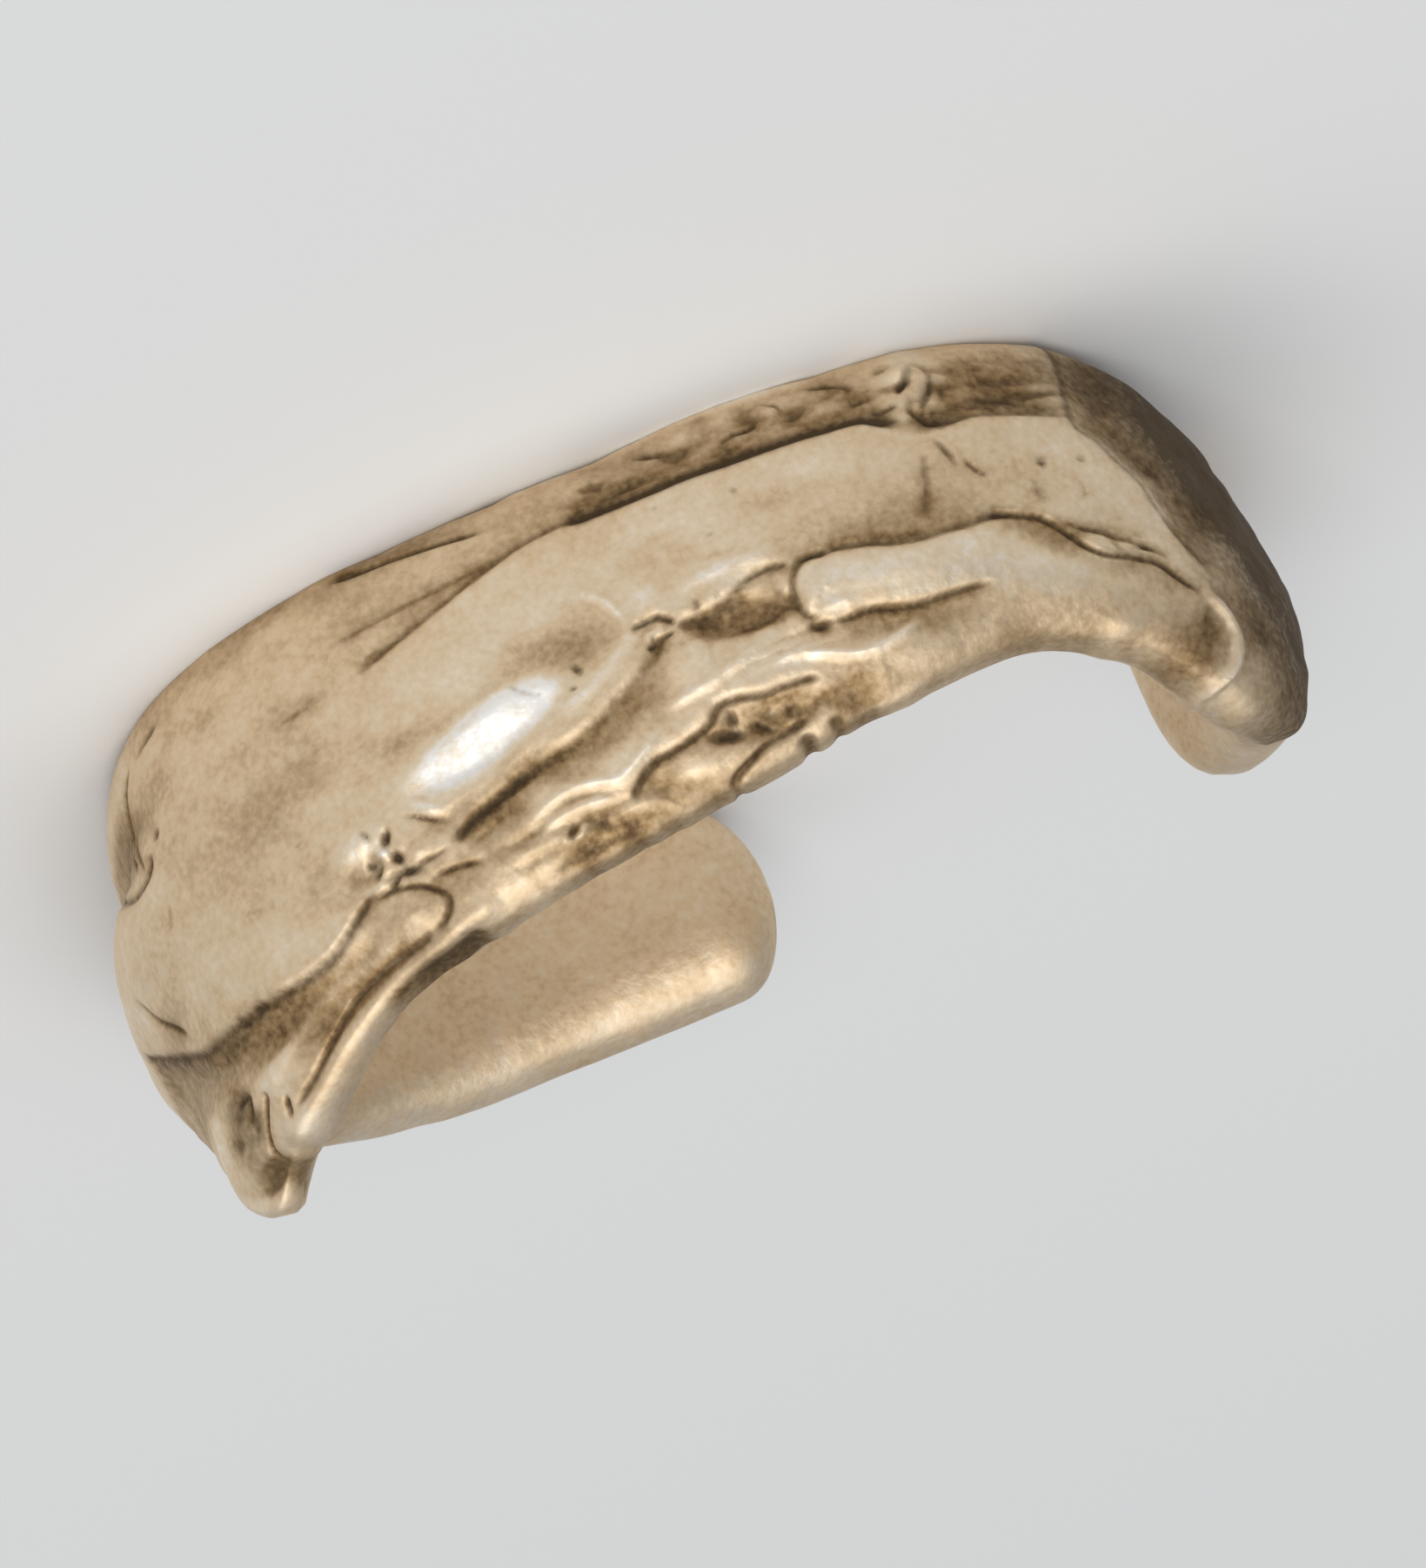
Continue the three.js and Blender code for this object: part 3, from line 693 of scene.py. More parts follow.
# Each ridge is painted paler along its bank, partly as rubbed wear and partly as a painted highlight.
RIDGES = (
    Ridge("fold in the valley", ((7.05, 5.95), (6.2, 5.62), (5.55, 5.45), (4.7, 5.38), (4.15, 5.3)),
          0.05),
    Ridge("band beside the hollow", ((-0.3, 2.8), (0.0, 3.0), (0.4, 3.28), (0.8, 3.48), (1.3, 3.62)),
          0.035, 0.09, wear_and_highlight=0.5),
    Ridge("toe", ((7.15, 6.66), (6.48, 6.44), (5.7, 6.13), (5.05, 5.88), (4.4, 5.7), (3.8, 5.61),
          (3.3, 5.5), (2.7, 5.42)), 0.11, 0.13, wear_and_highlight=0.05),
    Ridge("lip by the open end", ((3.45, 3.68), (3.2, 3.95), (2.85, 4.2)), 0.05, 0.07, wear_and_highlight=0.35),
    Ridge("upper lip, front", ((2.2, 4.75), (1.45, 4.6), (1.15, 4.64), (0.8, 4.72), (0.35, 4.5),
          (0.0, 4.28)), 0.05, 0.07, wear_and_highlight=0.35),
    Ridge("upper lip, second", ((2.2, 5.0), (1.6, 4.86), (1.2, 4.86), (0.9, 4.98)), 0.04, 0.06,
          wear_and_highlight=0.28),
    Ridge("upper lip, middle", ((0.0, 4.12), (-0.45, 4.05), (-0.95, 3.97), (-1.35, 3.83), (-1.65, 3.7)),
          0.06, 0.07, wear_and_highlight=0.35),
    Ridge("upper lip, back", ((-1.5, 4.1), (-1.9, 4.07), (-2.15, 4.15), (-2.55, 4.3), (-2.9, 4.32),
          (-3.25, 4.23), (-3.6, 4.1)), 0.07, 0.07, wear_and_highlight=0.35),
    Ridge("finger, lower bead", ((-2.25, 3.66), (-2.5, 3.62), (-2.95, 3.62)), 0.05, 0.07, wear_and_highlight=0.35),
    Ridge("lip over the front line", ((-0.65, 2.7), (-0.95, 2.6), (-1.4, 2.56), (-1.8, 2.58),
          (-2.2, 2.56)), 0.05, 0.08, wear_and_highlight=0.35),
    Ridge("crest", ((0.5, 2.12), (0.32, 2.15), (0.12, 2.35), (0.0, 2.62), (-0.05, 2.85)), 0.05, 0.05,
          wear_and_highlight=0.35),
    Ridge("lip beyond the crest", ((-0.05, 2.5), (-0.35, 2.5), (-0.65, 2.62)), 0.04, wear_and_highlight=0.21),
    Ridge("splinter", ((-0.15, 3.12), (-0.35, 3.05), (-0.5, 3.0)), 0.05, 0.04, 0.1, wear_and_highlight=0.35),
    Ridge("rolled rim of the narrow bend", ((-7.2, 4.3), (-7.42, 4.5), (-7.58, 4.8), (-7.64, 5.1),
          (-7.55, 5.4), (-7.2, 5.6)), 0.12, 0.07, wear_and_highlight=0.49),
    Ridge("flake on the free rim", ((-2.4, 5.1), (-3.0, 4.9), (-3.5, 4.8)), 0.04, 0.05, wear_and_highlight=0.35),
    Ridge("ledge of the resting rim", ((1.0, 0.1), (-0.5, 0.06), (-2.0, 0.04), (-3.6, 0.1)), 0.04, 0.07,
          wear_and_highlight=0.42),
    Ridge("fan, rib", ((1.85, 5.15), (1.55, 5.18), (1.42, 5.02)), 0.04, 0.045, 0.12, wear_and_highlight=0.35),
    Ridge("edge of the plate", ((-6.3, 1.75), (-6.6, 2.2), (-6.9, 2.85), (-7.15, 3.45)), 0.02, 0.10,
          wear_and_highlight=0.21),
    Ridge("rim of the tip", ((7.6, 7.1), (8.2, 6.95), (8.7, 6.5), (8.5, 5.8), (8.3, 5.3)), 0.08, 0.14,
          wear_and_highlight=0.28),
)

# Pits are painted dark, partly as patina and partly as the shade in them.
PITS = (
    Swell("junction, first pit", 4.0, 3.92, 0.04, 0.09, -0.05, turn=25.0, stain_and_shade=1.0),
    Swell("junction, second pit", 3.8, 4.07, 0.05, 0.12, -0.08, turn=-30.0, stain_and_shade=1.2),
    Swell("junction, third pit", 3.76, 4.38, 0.06, 0.14, -0.08, turn=15.0, stain_and_shade=1.3),
    Swell("junction, fourth pit", 3.7, 4.62, 0.16, 0.06, -0.09, turn=-20.0, stain_and_shade=1.3),
    Swell("junction, fifth pit", 3.92, 4.66, 0.10, 0.04, -0.07, turn=30.0, stain_and_shade=1.0),
    Swell("junction, sixth pit", 4.06, 4.44, 0.04, 0.10, -0.06, turn=-40.0, stain_and_shade=1.0),
    Swell("junction, seventh pit", 4.12, 4.28, 0.04, 0.05, -0.05, stain_and_shade=1.0),
    # Painted highlights: the two glints are painted paler.
    Swell("junction, glint", 3.88, 4.24, 0.09, 0.06, 0.06, wash=-0.6),
    Swell("junction, second glint", 4.18, 4.6, 0.16, 0.05, 0.05, wash=-0.6),
    Swell("patch, pit", -0.68, 4.75, 0.22, 0.09, -0.10, turn=-14.0, power=3.0, stain_and_shade=1.1),
    Swell("patch, tail of the pit", -0.82, 4.56, 0.05, 0.10, -0.08, turn=-10.0, stain_and_shade=1.0),
    Swell("free rim, blob", -1.62, 5.12, 0.12, 0.08, -0.07, power=3.0, stain_and_shade=0.9, wash=0.4),
    Swell("free rim, second blob", -2.05, 5.02, 0.10, 0.07, -0.06, stain_and_shade=0.8, wash=0.4),
    Swell("comma on the facet", 0.78, 3.1, 0.05, 0.10, -0.05, turn=20.0, stain_and_shade=1.0),
    Swell("dot under the comma", 0.9, 3.36, 0.05, 0.04, -0.03, stain_and_shade=0.8),
    Swell("dent on the upper lobe", 6.38, 0.56, 0.16, 0.05, -0.05, turn=20.0, stain_and_shade=0.6),
    Swell("dot on the plate", -5.68, 2.36, 0.07, 0.07, -0.04, stain_and_shade=0.9),
    Swell("speck by the lip", -1.45, 2.03, 0.06, 0.03, -0.02, stain_and_shade=0.5),
    Swell("speck in the middle", -1.95, 1.55, 0.05, 0.06, -0.02, stain_and_shade=0.4),
    Swell("second speck in the middle", -0.95, 1.35, 0.05, 0.04, -0.02, stain_and_shade=0.4),
)

CRUMPLES = (
    Crumple("strip", Swell("", -2.5, 0.5, 1.35, 0.4, 0.10, power=6.0, stain_and_shade=0.5, wash=0.3), 0.42, 0.3,
            11),
    Crumple("start of the strip", Swell("", -0.6, 0.6, 0.6, 0.25, 0.06, power=4.0, stain_and_shade=0.5, wash=0.3),
            0.4, 0.2, 24),
    Crumple("knot", Swell("", -4.45, 0.75, 0.65, 0.45, 0.12, power=3.0, stain_and_shade=0.5, wash=0.3), 0.26, 0.24,
            12),
    Crumple("patch", Swell("", -1.4, 4.74, 0.5, 0.2, 0.07, power=4.0, stain_and_shade=0.45, wash=0.2), 0.3, 0.22,
            13),
    Crumple("junction", Swell("", 3.9, 4.35, 0.4, 0.3, 0.08, power=3.0, stain_and_shade=0.5), 0.2, 0.18, 14),
    Crumple("shelf", Swell("", -1.3, 3.12, 0.5, 0.12, 0.05, power=3.0, stain_and_shade=0.4, wash=0.2), 0.3, 0.14,
            15),
    Crumple("fan", Swell("", 1.5, 4.95, 1.5, 0.35, 0.05, power=3.0, stain_and_shade=0.15, wash=0.25), 0.7, 0.2, 16),
    # Painted shade and a painted dark reflection: dark low pleats on the side that turns away.
    Crumple("turned side", Swell("", -9.2, 3.0, 1.9, 2.6, 0.06, power=4.0, stain_and_shade=0.3, wash=0.3), 0.8, 0.7,
            17),
    Crumple("seam of the narrow bend",
            Swell("", -6.3, 3.65, 0.7, 0.2, 0.04, turn=-22.0, power=3.0, stain_and_shade=0.4, wash=0.3), 0.3, 0.14,
            18),
    Crumple("inner strip", Swell("", -5.7, 1.0, 1.1, 0.5, 0.05, power=3.0, stain_and_shade=0.5, wash=0.3), 0.8, 0.2,
            19),
    Crumple("tip", Swell("", 7.6, 6.0, 0.5, 0.6, 0.06, power=3.0, stain_and_shade=0.5, wash=0.3), 0.35, 0.3, 20),
    Crumple("upper lips", Swell("", -1.7, 3.98, 0.9, 0.25, 0.03, power=3.0, wash=0.3), 0.6, 0.12, 21),
    Crumple("free rim", Swell("", 0.9, 5.4, 2.0, 0.22, 0.04, power=3.0, stain_and_shade=0.2, wash=0.3), 0.5, 0.25,
            22),
)


# --------------------------------------------------------------------------------------------------------
# The band
# --------------------------------------------------------------------------------------------------------


@dataclass(frozen=True)
class Rims:
    """One row of the table of rims: a place along the band and the heights of its two rims there."""

    along: float
    resting: float
    free: float


RIMS = (
    Rims(-14.7, 0.3, 3.6),
    Rims(-13.0, 0.5, 4.1),
    Rims(-11.0, 0.75, 4.8),
    Rims(-9.5, 0.6, 5.65),
    Rims(-8.2, 0.28, 5.85),
    Rims(-7.3, 0.16, 5.45),
    Rims(-6.5, 0.1, 4.95),
    Rims(-5.0, 0.0, 4.6),
    Rims(-3.0, -0.05, 4.9),
    Rims(0.0, 0.1, 5.4),
    Rims(3.0, -0.05, 5.65),
    Rims(5.0, -0.1, 5.95),
    Rims(7.0, 0.0, 6.7),
    Rims(8.3, 0.15, 7.02),
    Rims(9.5, 0.4, 6.2),
    Rims(11.0, 0.7, 5.2),
    Rims(13.0, 0.5, 4.0),
    Rims(16.0, 0.1, 3.2),
    Rims(19.0, 0.0, 2.9),
    Rims(21.8, 0.0, 2.8),
)


@dataclass(frozen=True)
class PatinaAndShade:
    """How the casting is darkened by its own shape, partly as patina and partly as painted shade: dark in
    creases, brown in wider hollows, rubbed off what stands out.

    Spreads are in grid steps and depths in millimetres. A limit is the least or most that a height can add.
    """

    close_spread: float = 3.0
    wide_spread: float = 11.0
    crease_depth: float = 0.06
    hollow_depth: float = 0.07
    pressed_share: float = 0.6
    crease_share: float = 0.3
    rubbed_limit: float = -0.3
    hollow_limit: float = 0.6
    least_wash: float = -1.2
    most_wash: float = 1.1
    cloud_share: float = 0.15
    clouds: Grain = Grain(33, 0.8, 0.5, 4)

    def settle(self, skin: Skin) -> None:
        """Adds the darkening that the skin's own shape holds, partly patina and partly painted shade, to
        what its features hold.

        The darkening stays where the skin lies below its own softened height, where shade falls: dark where
        it is below its close surroundings, and as a brown wash where it is below its wider ones.

        Args:
            skin: The finished relief. Its stain, with its painted shade, is brought to 0 to 1 and its wash
                is held in its limits.
        """
        # Painted shade, partly patina: dark where the skin sinks below its close surroundings, brown below
        # its wider ones.
        sunken = (blurred(skin.height, self.close_spread) - skin.height) / self.crease_depth
        crease = np.clip(sunken, 0.0, 1.0)
        below = (blurred(skin.height, self.wide_spread) - skin.height) / self.hollow_depth
        hollow = np.clip(below, self.rubbed_limit, self.hollow_limit)
        skin.stain_and_shade = np.clip(self.pressed_share * skin.stain_and_shade + self.crease_share * crease, 0.0, 1.0)
        skin.wash = np.clip(skin.wash + hollow, self.least_wash, self.most_wash)
        skin.wash += self.cloud_share * self.clouds.at(skin.along, skin.up)


@dataclass
class CuffBand:
    """The whole cuff: a tube of rounded sections carried along an oval plan, open at the back.

    Lengths are in millimetres. ``inner_fade`` is in degrees round a section, past its rims.
    """

    half_width: float = 8.3
    half_depth: float = 6.2
    plan_power: float = 2.5
    wall: float = 1.5
    outer_power: float = 2.3
    inner_power: float = 3.2
    narrow_end: float = -14.7
    wide_end: float = 21.8
    end_rounding: float = 0.9
    rest_flat: float = 0.06
    face_reach: float = 10.0
    face_spacing: float = 0.036
    back_spacing: float = 0.2
    end_sections: int = 14
    outer_points: int = 132
    inner_points: int = 14
    inner_fade: float = 50.0
    by_angle: float = 0.45
    by_height: float = 0.55
    plan_turn: float = 1.25 * math.pi
    plan_points: int = 24001
    plan_reach: float = 0.05
    stain_and_shade_mark: float = 0.1
    hand: float = 0.035
    handwork: Grain = Grain(31, 1.7, 0.9, 3)
    ripple: float = 0.005
    ripples: Grain = Grain(32, 0.4, 0.3, 2)
    # The patina and the painted shade that settle from the skin's own shape.
    patina_and_shade: PatinaAndShade = PatinaAndShade()

    def section_places(self) -> Array:
        """Chooses where the sections are: close on the worn face, wider behind, and by angle in the ends.

        Returns:
            The sections' places along the band, rising.
        """
        share = np.arange(1, self.end_sections + 1) / self.end_sections
        ends = self.end_rounding * (1.0 - np.cos(share * math.pi / 2))
        body_start, body_end = self.narrow_end + self.end_rounding, self.wide_end - self.end_rounding
        edges = (body_start, -self.face_reach, self.face_reach, body_end)
        spacings = (self.back_spacing, self.face_spacing, self.back_spacing)
        stretches = [
            np.linspace(low, high, int(round((high - low) / spacing)), endpoint=False)
            for low, high, spacing in zip(edges[:-1], edges[1:], spacings)
        ]
        body = np.concatenate(stretches)[1:]
        return np.concatenate([self.narrow_end + ends, body, (self.wide_end - ends)[::-1]])

    def section_angles(self) -> Array:
        """Chooses the angles round a section, from the resting rim over the outer face and back inside.

        Returns:
            The angles, 0 square out of the wall and a quarter turn at the free rim.
        """
        share = np.linspace(-1.0, 1.0, self.outer_points, endpoint=False)
        outer = self.by_angle * share * math.pi / 2 + self.by_height * np.arcsin(share)
        inner = math.pi / 2 + math.pi * np.arange(self.inner_points) / self.inner_points
        return np.concatenate([outer, inner])

    def plan(self, along: Array) -> tuple[Array, Array]:
        """Walks the middle of the wall in plan, a superellipse, and measures its length as it goes.

        Args:
            along: Lengths from the front centre.

        Returns:
            The places in plan and the outward directions there, one to a row.
        """
        angle = np.linspace(-self.plan_turn, self.plan_turn, self.plan_points)
        bend = 2.0 / self.plan_power
        x = (self.half_width - self.wall / 2) * signed_power(np.sin(angle), bend)
        y = -(self.half_depth - self.wall / 2) * signed_power(np.cos(angle), bend)
        walked = np.concatenate([[0.0], np.cumsum(np.hypot(np.diff(x), np.diff(y)))])
        walked -= np.interp(0.0, angle, walked)
        place, ahead, behind = (
            np.stack([np.interp(length, walked, x), np.interp(length, walked, y)], -1)
            for length in (along, along + self.plan_reach, along - self.plan_reach)
        )
        tangent = ahead - behind
        tangent /= np.linalg.norm(tangent, axis=1, keepdims=True)
        return place, np.stack([tangent[:, 1], -tangent[:, 0]], -1)

    def skin(self, along: Array, up: Array) -> Skin:
        """Presses every feature of the wax into a level skin, and lets patina and painted shade settle on
        it.

        Args:
            along: The chart's first measure on the grid.
            up: The chart's second measure on the grid.

        Returns:
            The skin, with its heights in millimetres.
        """
        skin = Skin(along, up)
        for feature in (*BENDS, *SWELLS, *FOLDS, *RIDGES, *PITS, *CRUMPLES):
            feature.press(skin)
        skin.height += self.hand * self.handwork.at(along, up)
        skin.height += self.ripple * self.ripples.at(along, up)
        self.patina_and_shade.settle(skin)
        return skin

    def surface(self) -> tuple[Array, Array, Array, Array]:
        """Works out the whole skin of the band.

        A section is a superellipse, of one power outside and another inside, that shrinks along a quarter
        round towards each end of the band. The relief pushes its outer half out square to the section and
        fades just inside.

        Returns:
            The points, as sections by points round them by three, in millimetres, then the relief's height,
            the dark stain with its painted shade, and the wash at each.
        """
        along = self.section_places()
        angle = self.section_angles()
        place, outward = self.plan(along)
        rows = np.array([(row.along, row.resting, row.free) for row in RIMS])
        low = through_rows(along, rows[:, 0], rows[:, 1])[:, None]
        high = through_rows(along, rows[:, 0], rows[:, 2])[:, None]
        to_end = np.minimum(along - self.narrow_end, self.wide_end - along) / self.end_rounding
        rounding = np.sqrt(1.0 - (1.0 - np.clip(to_end, 0.0, 1.0)) ** 2)[:, None]

        cos, sin = np.cos(angle)[None], np.sin(angle)[None]
        power = np.where(cos > 0.0, self.outer_power, self.inner_power)
        half = rounding * (high - low) / 2
        rise = half * signed_power(sin, 2.0 / power)
        out = rounding * self.wall / 2 * signed_power(cos, 2.0 / power)
        skin = self.skin(np.broadcast_to(along[:, None], rise.shape), (low + high) / 2 + rise)
        inside = np.degrees(np.abs(np.arctan2(sin, cos))) - 90.0
        weight = rounding * (1.0 - smooth_step(inside / self.inner_fade))

        square_out = signed_power(cos, 2.0 - 2.0 / power) / (self.wall / 2)
        square_up = signed_power(sin, 2.0 - 2.0 / power) / ((high - low) / 2)
        length = np.hypot(square_out, square_up)
        out = out + weight * skin.height * square_out / length
        up = (low + high) / 2 + rise + weight * skin.height * square_up / length
        plan = place[:, None, :] + out[..., None] * outward[:, None, :]
        height = np.maximum(up - self.rest_flat, 0.0)
        return np.dstack([plan, height]), weight * skin.height, weight * skin.stain_and_shade, weight * skin.wash

    @staticmethod
    def in_frame(places: Array) -> Array:
        """Puts the band in the middle of the frame's own box, resting on its floor.

        Where the band is larger than the box it is shrunk to it, by less than a part in five hundred.

        Args:
            places: The band's points, in metres.

        Returns:
            The points in the frame.
        """
        lowest, highest = (np.array(corner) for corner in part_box("cuff_band"))
        own_lowest, own_size = places.min(0), np.ptp(places, axis=0)
        scale = np.minimum(1.0, (highest - lowest) / own_size)
        places = (places - (own_lowest + own_size / 2)) * scale + (lowest + highest) / 2
        places[:, 2] -= places[:, 2].min() - lowest[2]
        return places

    @staticmethod
    def triangles(marks: Array) -> Array:
        """Joins the points of the skin, and closes each end on the tip that follows them.

        Each patch between four points is cut along the diagonal whose ends' marks differ least, so that the
        cuts run along the creases.

        Args:
            marks: A value at each point, as sections by points round them.

        Returns:
            The triangles' corners, one triangle to a row.
        """
        sections, around = marks.shape
        row, column = np.meshgrid(np.arange(sections - 1), np.arange(around), indexing="ij")
        this, following = row * around + column, row * around + (column + 1) % around
        corners = np.stack([this, this + around, following + around, following], -1).reshape(-1, 4)
        mark = marks.ravel()[corners]
        level = np.abs(mark[:, 0] - mark[:, 2]) <= np.abs(mark[:, 1] - mark[:, 3])
        corners = np.where(level[:, None], corners, np.roll(corners, -1, axis=1))
        ring = np.arange(around)
        turned = (ring + 1) % around
        last = (sections - 1) * around
        first_cap = np.stack([np.full(around, marks.size), ring, turned], -1)
        last_cap = np.stack([np.full(around, marks.size + 1), last + turned, last + ring], -1)
        return np.vstack([corners[:, [0, 1, 2]], corners[:, [0, 2, 3]], first_cap, last_cap])

    def build(self) -> bpy.types.Object:
        """Puts the skin into a mesh, with a point to close each end, in the frame's own box.

        Returns:
            The band as an object at the origin.
        """
        points, relief, stain_and_shade, wash = self.surface()
        tips = np.stack([points[0].mean(0), points[-1].mean(0)])
        places = self.in_frame(np.vstack([points.reshape(-1, 3), tips]) * MM)
        stains_and_shade, washes = (np.append(values.ravel(), [0.0, 0.0]) for values in (stain_and_shade, wash))

        mesh = bpy.data.meshes.new("cuff_band_skin")
        mesh.from_pydata(places.tolist(), [], self.triangles(relief - self.stain_and_shade_mark * stain_and_shade).tolist())
        mesh.polygons.foreach_set("use_smooth", np.ones(len(mesh.polygons), bool))
        for name, values in (("stain_and_shade", stains_and_shade), ("wash", washes)):
            mesh.attributes.new(name, "FLOAT", "POINT").data.foreach_set("value", values.astype(np.float32))
        mesh.update()
        piece = bpy.data.objects.new("cuff_band_skin", mesh)
        bpy.context.scene.collection.objects.link(piece)
        return piece

    def dress(self, piece: bpy.types.Object, finish: "SatinGold") -> None:
        """Gives the band its finish, and its place in the frame.

        Args:
            piece: The band.
            finish: What it is finished in.
        """
        piece.data.materials.append(finish.material())
        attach(piece, "root")
        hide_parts("cuff_band")


# --------------------------------------------------------------------------------------------------------
# Finishes
# --------------------------------------------------------------------------------------------------------


Tree = bpy.types.NodeTree
Socket = bpy.types.NodeSocket


@dataclass(frozen=True)
class SatinGold:
    """Pale yellow gold plate, rubbed to a soft satin, with brown patina and painted shade in the creases,
    painted shade on the turned side, and painted highlights on the bright facet and the glints.
    """

    # Near white: bare rubbed metal on the ridges, and a painted highlight on the bright facet and the
    # glints.
    rubbed_and_highlight: Colour = (0.98, 0.95, 0.90, 1.0)
    pale: Colour = (0.88, 0.75, 0.57, 1.0)
    gold: Colour = (0.78, 0.61, 0.405, 1.0)
    # The browns: partly patina, partly painted shade in hollows and on the turned side.
    brown: Colour = (0.39, 0.26, 0.13, 1.0)
    deep_brown: Colour = (0.17, 0.10, 0.045, 1.0)
    # The dark colour of creases and pits: partly patina, partly painted shade.
    patina_and_shade: Colour = (0.075, 0.045, 0.018, 1.0)
    wash_range: tuple[float, float] = (-1.2, 1.4)
    roughness: float = 0.56

    def material(self) -> bpy.types.Material:
        """Builds the node tree.

        The wash attribute picks a colour between near white, pale gold, plain gold and two browns, shifted a
        little by soft and fine noise. Near white is bare rubbed metal and a painted highlight; the browns
        are partly patina and partly painted shade. The stain attribute, broken up by fine noise, mixes in
        the dark colour, which is rougher and less metallic: partly patina, partly painted shade in creases,
        pits and on the turned side. Soft dimples and fine pores raise the bump. A range is given as the
        least and most of its input, then of its output.

        Returns:
            The material.
        """
        material = bpy.data.materials.new("satin_gold")
        material.use_nodes = True
        tree = material.node_tree
        tree.nodes.clear()
        add = tree.nodes.new
        link = tree.links.new
        output = add("ShaderNodeOutputMaterial")
        metal = add("ShaderNodeBsdfPrincipled")
        link(metal.outputs["BSDF"], output.inputs["Surface"])
        place = add("ShaderNodeTexCoord")
        speckle = self._noise(tree, place, scale=9000.0, detail=2.0)
        grain = self._noise(tree, place, scale=3000.0, detail=4.0)
        mottle = self._noise(tree, place, scale=1100.0, detail=4.0)

        wash = self._attribute(tree, "wash")
        shifts = ((mottle, 0.25, 0.75, 0.2), (grain, 0.25, 0.75, 0.14), (speckle, 0.3, 0.7, 0.2))
        for noise, low, high, most in shifts:
            wash = self._sum(tree, wash, self._range(tree, noise, low, high, -most, most))
        # The wash paints the colour: paler as rubbed wear and painted highlight, browner as patina and
        # painted shade.
        tint = add("ShaderNodeValToRGB")
        ramp = tint.color_ramp.elements
        ramp[0].color, ramp[1].color = self.rubbed_and_highlight, self.deep_brown
        for position, colour in ((0.25, self.pale), (0.48, self.gold), (0.85, self.brown)):
            ramp.new(position).color = colour
        link(self._range(tree, wash, *self.wash_range, 0.0, 1.0), tint.inputs["Fac"])

        # The stain paints the dark colour: partly patina, partly painted shade.
        broken = add("ShaderNodeMath")
        broken.operation = "MULTIPLY"
        link(self._attribute(tree, "stain_and_shade"), broken.inputs[0])
        link(self._range(tree, speckle, 0.3, 0.7, 0.85, 1.15), broken.inputs[1])
        amount = self._range(tree, broken.outputs[0], 0.06, 0.9, 0.0, 0.95)
        coat = add("ShaderNodeMix")
        coat.data_type = "RGBA"
        coat.inputs["B"].default_value = self.patina_and_shade
        link(amount, coat.inputs["Factor"])
        link(tint.outputs["Color"], coat.inputs["A"])
        link(coat.outputs["Result"], metal.inputs["Base Color"])
        link(self._range(tree, amount, 0.0, 1.0, 1.0, 0.5), metal.inputs["Metallic"])

        satin = self._range(tree, grain, 0.3, 0.7, self.roughness - 0.05, self.roughness + 0.07)
        roughness = self._sum(tree, satin, self._range(tree, amount, 0.0, 1.0, 0.0, 0.2))
        link(roughness, metal.inputs["Roughness"])

        dimples = self._bump(tree, mottle, 0.6, 0.00004, None)
        hammered = self._bump(tree, grain, 0.6, 0.00003, dimples)
        link(self._bump(tree, speckle, 0.5, 0.000012, hammered), metal.inputs["Normal"])
        return material

    @staticmethod
    def _attribute(tree: Tree, name: str) -> Socket:
        """Adds a reader of one of the mesh's own attributes.

        Args:
            tree: The material's nodes.
            name: The attribute.

        Returns:
            Its value.
        """
        reader = tree.nodes.new("ShaderNodeAttribute")
        reader.attribute_name = name
        return reader.outputs["Fac"]

    @staticmethod
    def _noise(tree: Tree, place: bpy.types.Node, scale: float, detail: float) -> Socket:
        """Adds a noise texture on the piece's own coordinates.

        Args:
            tree: The material's nodes.
            place: The node that gives the piece's own coordinates.
            scale: Its cells to a metre.
            detail: Its finer layers.

        Returns:
            Its value, from 0 to 1.
        """
        noise = tree.nodes.new("ShaderNodeTexNoise")
        noise.inputs["Scale"].default_value = scale
        noise.inputs["Detail"].default_value = detail
        tree.links.new(place.outputs["Object"], noise.inputs["Vector"])
        return noise.outputs["Fac"]

    @staticmethod
    def _range(tree: Tree, value: Socket, low: float, high: float, start: float, end: float) -> Socket:
        """Maps the values from low to high onto those from start to end, and holds them there.

        Args:
            tree: The material's nodes.
            value: What is mapped.
            low: The value that becomes start.
            high: The value that becomes end.
            start: The least result.
            end: The greatest result.

        Returns:
            The result.
        """
        ranged = tree.nodes.new("ShaderNodeMapRange")
        tree.links.new(value, ranged.inputs["Value"])
        for name, number in (("From Min", low), ("From Max", high), ("To Min", start), ("To Max", end)):
            ranged.inputs[name].default_value = number
        return ranged.outputs["Result"]

    @staticmethod
    def _sum(tree: Tree, first: Socket, second: Socket) -> Socket:
        """Adds two values.

        Args:
            tree: The material's nodes.
            first: One value.
            second: The other.

        Returns:
            Their sum.
        """
        total = tree.nodes.new("ShaderNodeMath")
        tree.links.new(first, total.inputs[0])
        tree.links.new(second, total.inputs[1])
        return total.outputs[0]

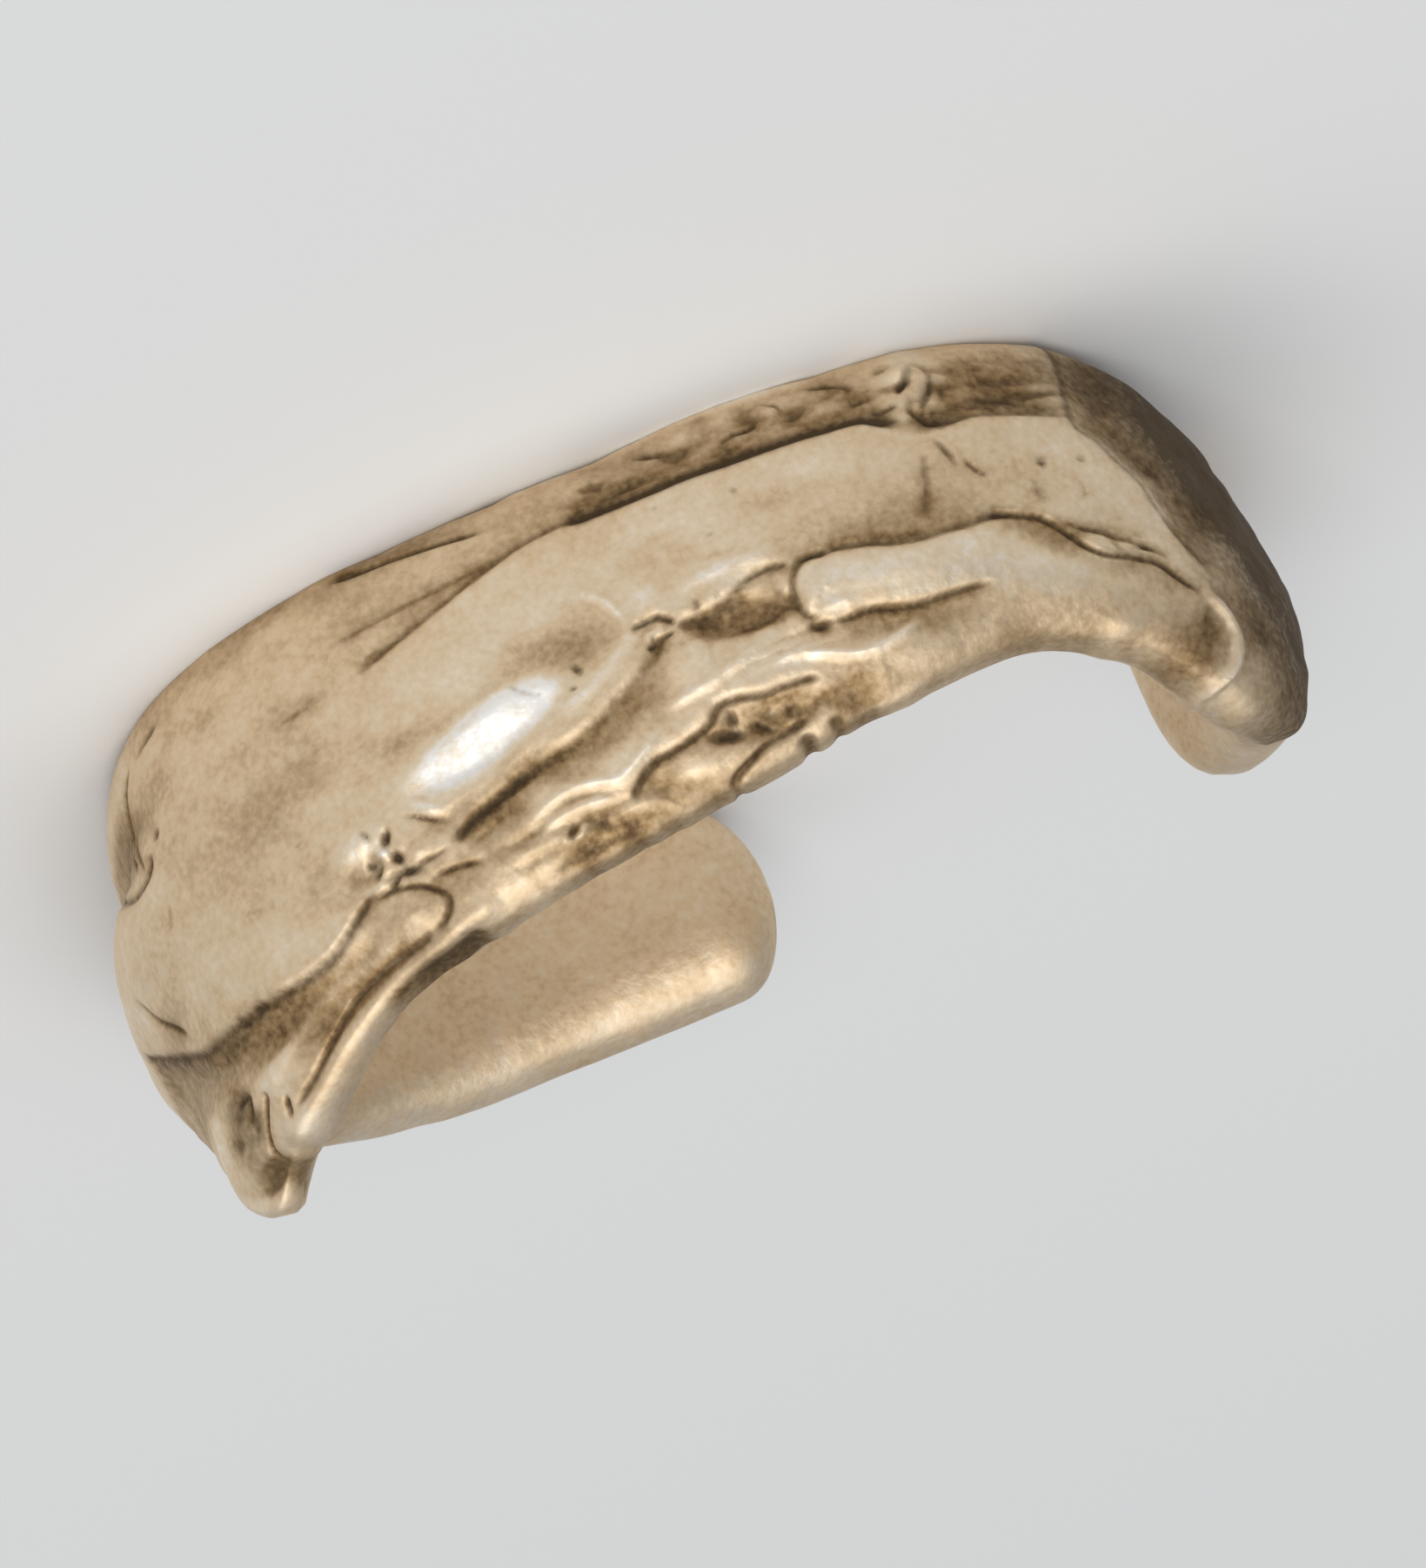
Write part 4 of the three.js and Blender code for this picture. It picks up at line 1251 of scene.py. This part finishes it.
    @staticmethod
    def _bump(tree: Tree, height: Socket, strength: float, distance: float, under: Socket | None) -> Socket:
        """Adds a bump over another bump's normal.

        Args:
            tree: The material's nodes.
            height: The bump's pattern.
            strength: How much of the bump counts.
            distance: Its height, in metres.
            under: The normal that it lies on, or None for the mesh's own.

        Returns:
            The new normal.
        """
        bump = tree.nodes.new("ShaderNodeBump")
        bump.inputs["Strength"].default_value = strength
        bump.inputs["Distance"].default_value = distance
        tree.links.new(height, bump.inputs["Height"])
        if under is not None:
            tree.links.new(under, bump.inputs["Normal"])
        return bump.outputs["Normal"]


# --------------------------------------------------------------------------------------------------------
# The studio
# --------------------------------------------------------------------------------------------------------


@dataclass(frozen=True)
class SoftBox:
    """A square soft light: where it stands, how wide it is and how strong."""

    name: str
    place: tuple[float, float, float]
    width: float
    power: float


@dataclass
class Studio:
    """A plain pale floor, soft lights and the camera. Lengths are in metres, turns in degrees."""

    floor_half: float = 3.0
    floor_colour: Colour = (0.80, 0.80, 0.79, 1.0)
    floor_roughness: float = 0.9
    sky: Colour = (0.86, 0.88, 0.92, 1.0)
    sky_strength: float = 0.37
    target: tuple[float, float, float] = (-0.00019, 0.00005, 0.002345)
    elevation: float = 26.0
    roll: float = 203.0
    distance: float = 0.30
    view_height: float = 0.0209
    sensor: float = 36.0
    nearest_seen: float = 0.01
    farthest_seen: float = 20.0
    boxes: tuple[SoftBox, ...] = (
        SoftBox("top_light", (0.05, -0.15, 0.45), 0.6, 1.35),
        SoftBox("front_light", (0.06, -0.50, 0.32), 0.22, 0.88),
        SoftBox("side_light", (0.45, -0.20, 0.25), 0.3, 0.2),
    )

    def build_floor(self) -> None:
        """Lays the floor as one square under the cuff."""
        half = self.floor_half
        mesh = bpy.data.meshes.new("floor")
        corners = [(-half, -half, 0.0), (half, -half, 0.0), (half, half, 0.0), (-half, half, 0.0)]
        mesh.from_pydata(corners, [], [(0, 1, 2, 3)])
        floor = bpy.data.objects.new("floor", mesh)
        bpy.context.scene.collection.objects.link(floor)
        material = bpy.data.materials.new("pale_floor")
        material.use_nodes = True
        paint = material.node_tree.nodes["Principled BSDF"]
        paint.inputs["Base Color"].default_value = self.floor_colour
        paint.inputs["Roughness"].default_value = self.floor_roughness
        mesh.materials.append(material)

    def build_lights(self) -> None:
        """Hangs the soft boxes, each turned to the cuff, and sets the even light all round."""
        world = bpy.data.worlds.new("studio")
        world.use_nodes = True
        sky = world.node_tree.nodes["Background"]
        sky.inputs["Color"].default_value = self.sky
        sky.inputs["Strength"].default_value = self.sky_strength
        bpy.context.scene.world = world
        for box in self.boxes:
            light = bpy.data.lights.new(box.name, "AREA")
            light.shape = "SQUARE"
            light.size = box.width
            light.energy = box.power
            lamp = bpy.data.objects.new(box.name, light)
            lamp.location = box.place
            lamp.rotation_euler = (-Vector(box.place)).to_track_quat("-Z", "Y").to_euler()
            bpy.context.scene.collection.objects.link(lamp)

    def build_camera(self) -> None:
        """Stands the camera in front of the cuff, above the floor, and rolls it about its line of sight."""
        elevation, roll = math.radians(self.elevation), math.radians(self.roll)
        back = Vector((0.0, -math.cos(elevation), math.sin(elevation)))
        level_up = Vector((0.0, math.sin(elevation), math.cos(elevation)))
        level_right = Vector((1.0, 0.0, 0.0))
        right = math.cos(roll) * level_right - math.sin(roll) * level_up
        up = math.sin(roll) * level_right + math.cos(roll) * level_up
        lens = bpy.data.cameras.new("camera")
        lens.sensor_width = self.sensor
        lens.lens = self.sensor * self.distance / self.view_height
        lens.clip_start = self.nearest_seen
        lens.clip_end = self.farthest_seen
        camera = bpy.data.objects.new("camera", lens)
        turn = Matrix((right, up, back)).transposed()
        camera.matrix_world = Matrix.Translation(Vector(self.target) + self.distance * back) @ turn.to_4x4()
        bpy.context.scene.collection.objects.link(camera)
        bpy.context.scene.camera = camera

    def set_view(self) -> None:
        """Shows the picture's tones as they are."""
        bpy.context.scene.view_settings.view_transform = "Standard"


def main() -> None:
    """Builds the studio and the cuff in order and reports each piece."""
    logging.basicConfig(level=logging.INFO, format="%(name)s: %(message)s")
    studio = Studio()
    studio.build_camera()
    studio.build_floor()
    studio.build_lights()
    studio.set_view()
    LOG.info("studio ready")

    band = CuffBand()
    piece = band.build()
    band.dress(piece, SatinGold())
    LOG.info("%s: %d faces", piece.name, len(piece.data.polygons))


if __name__ == "__main__":
    main()
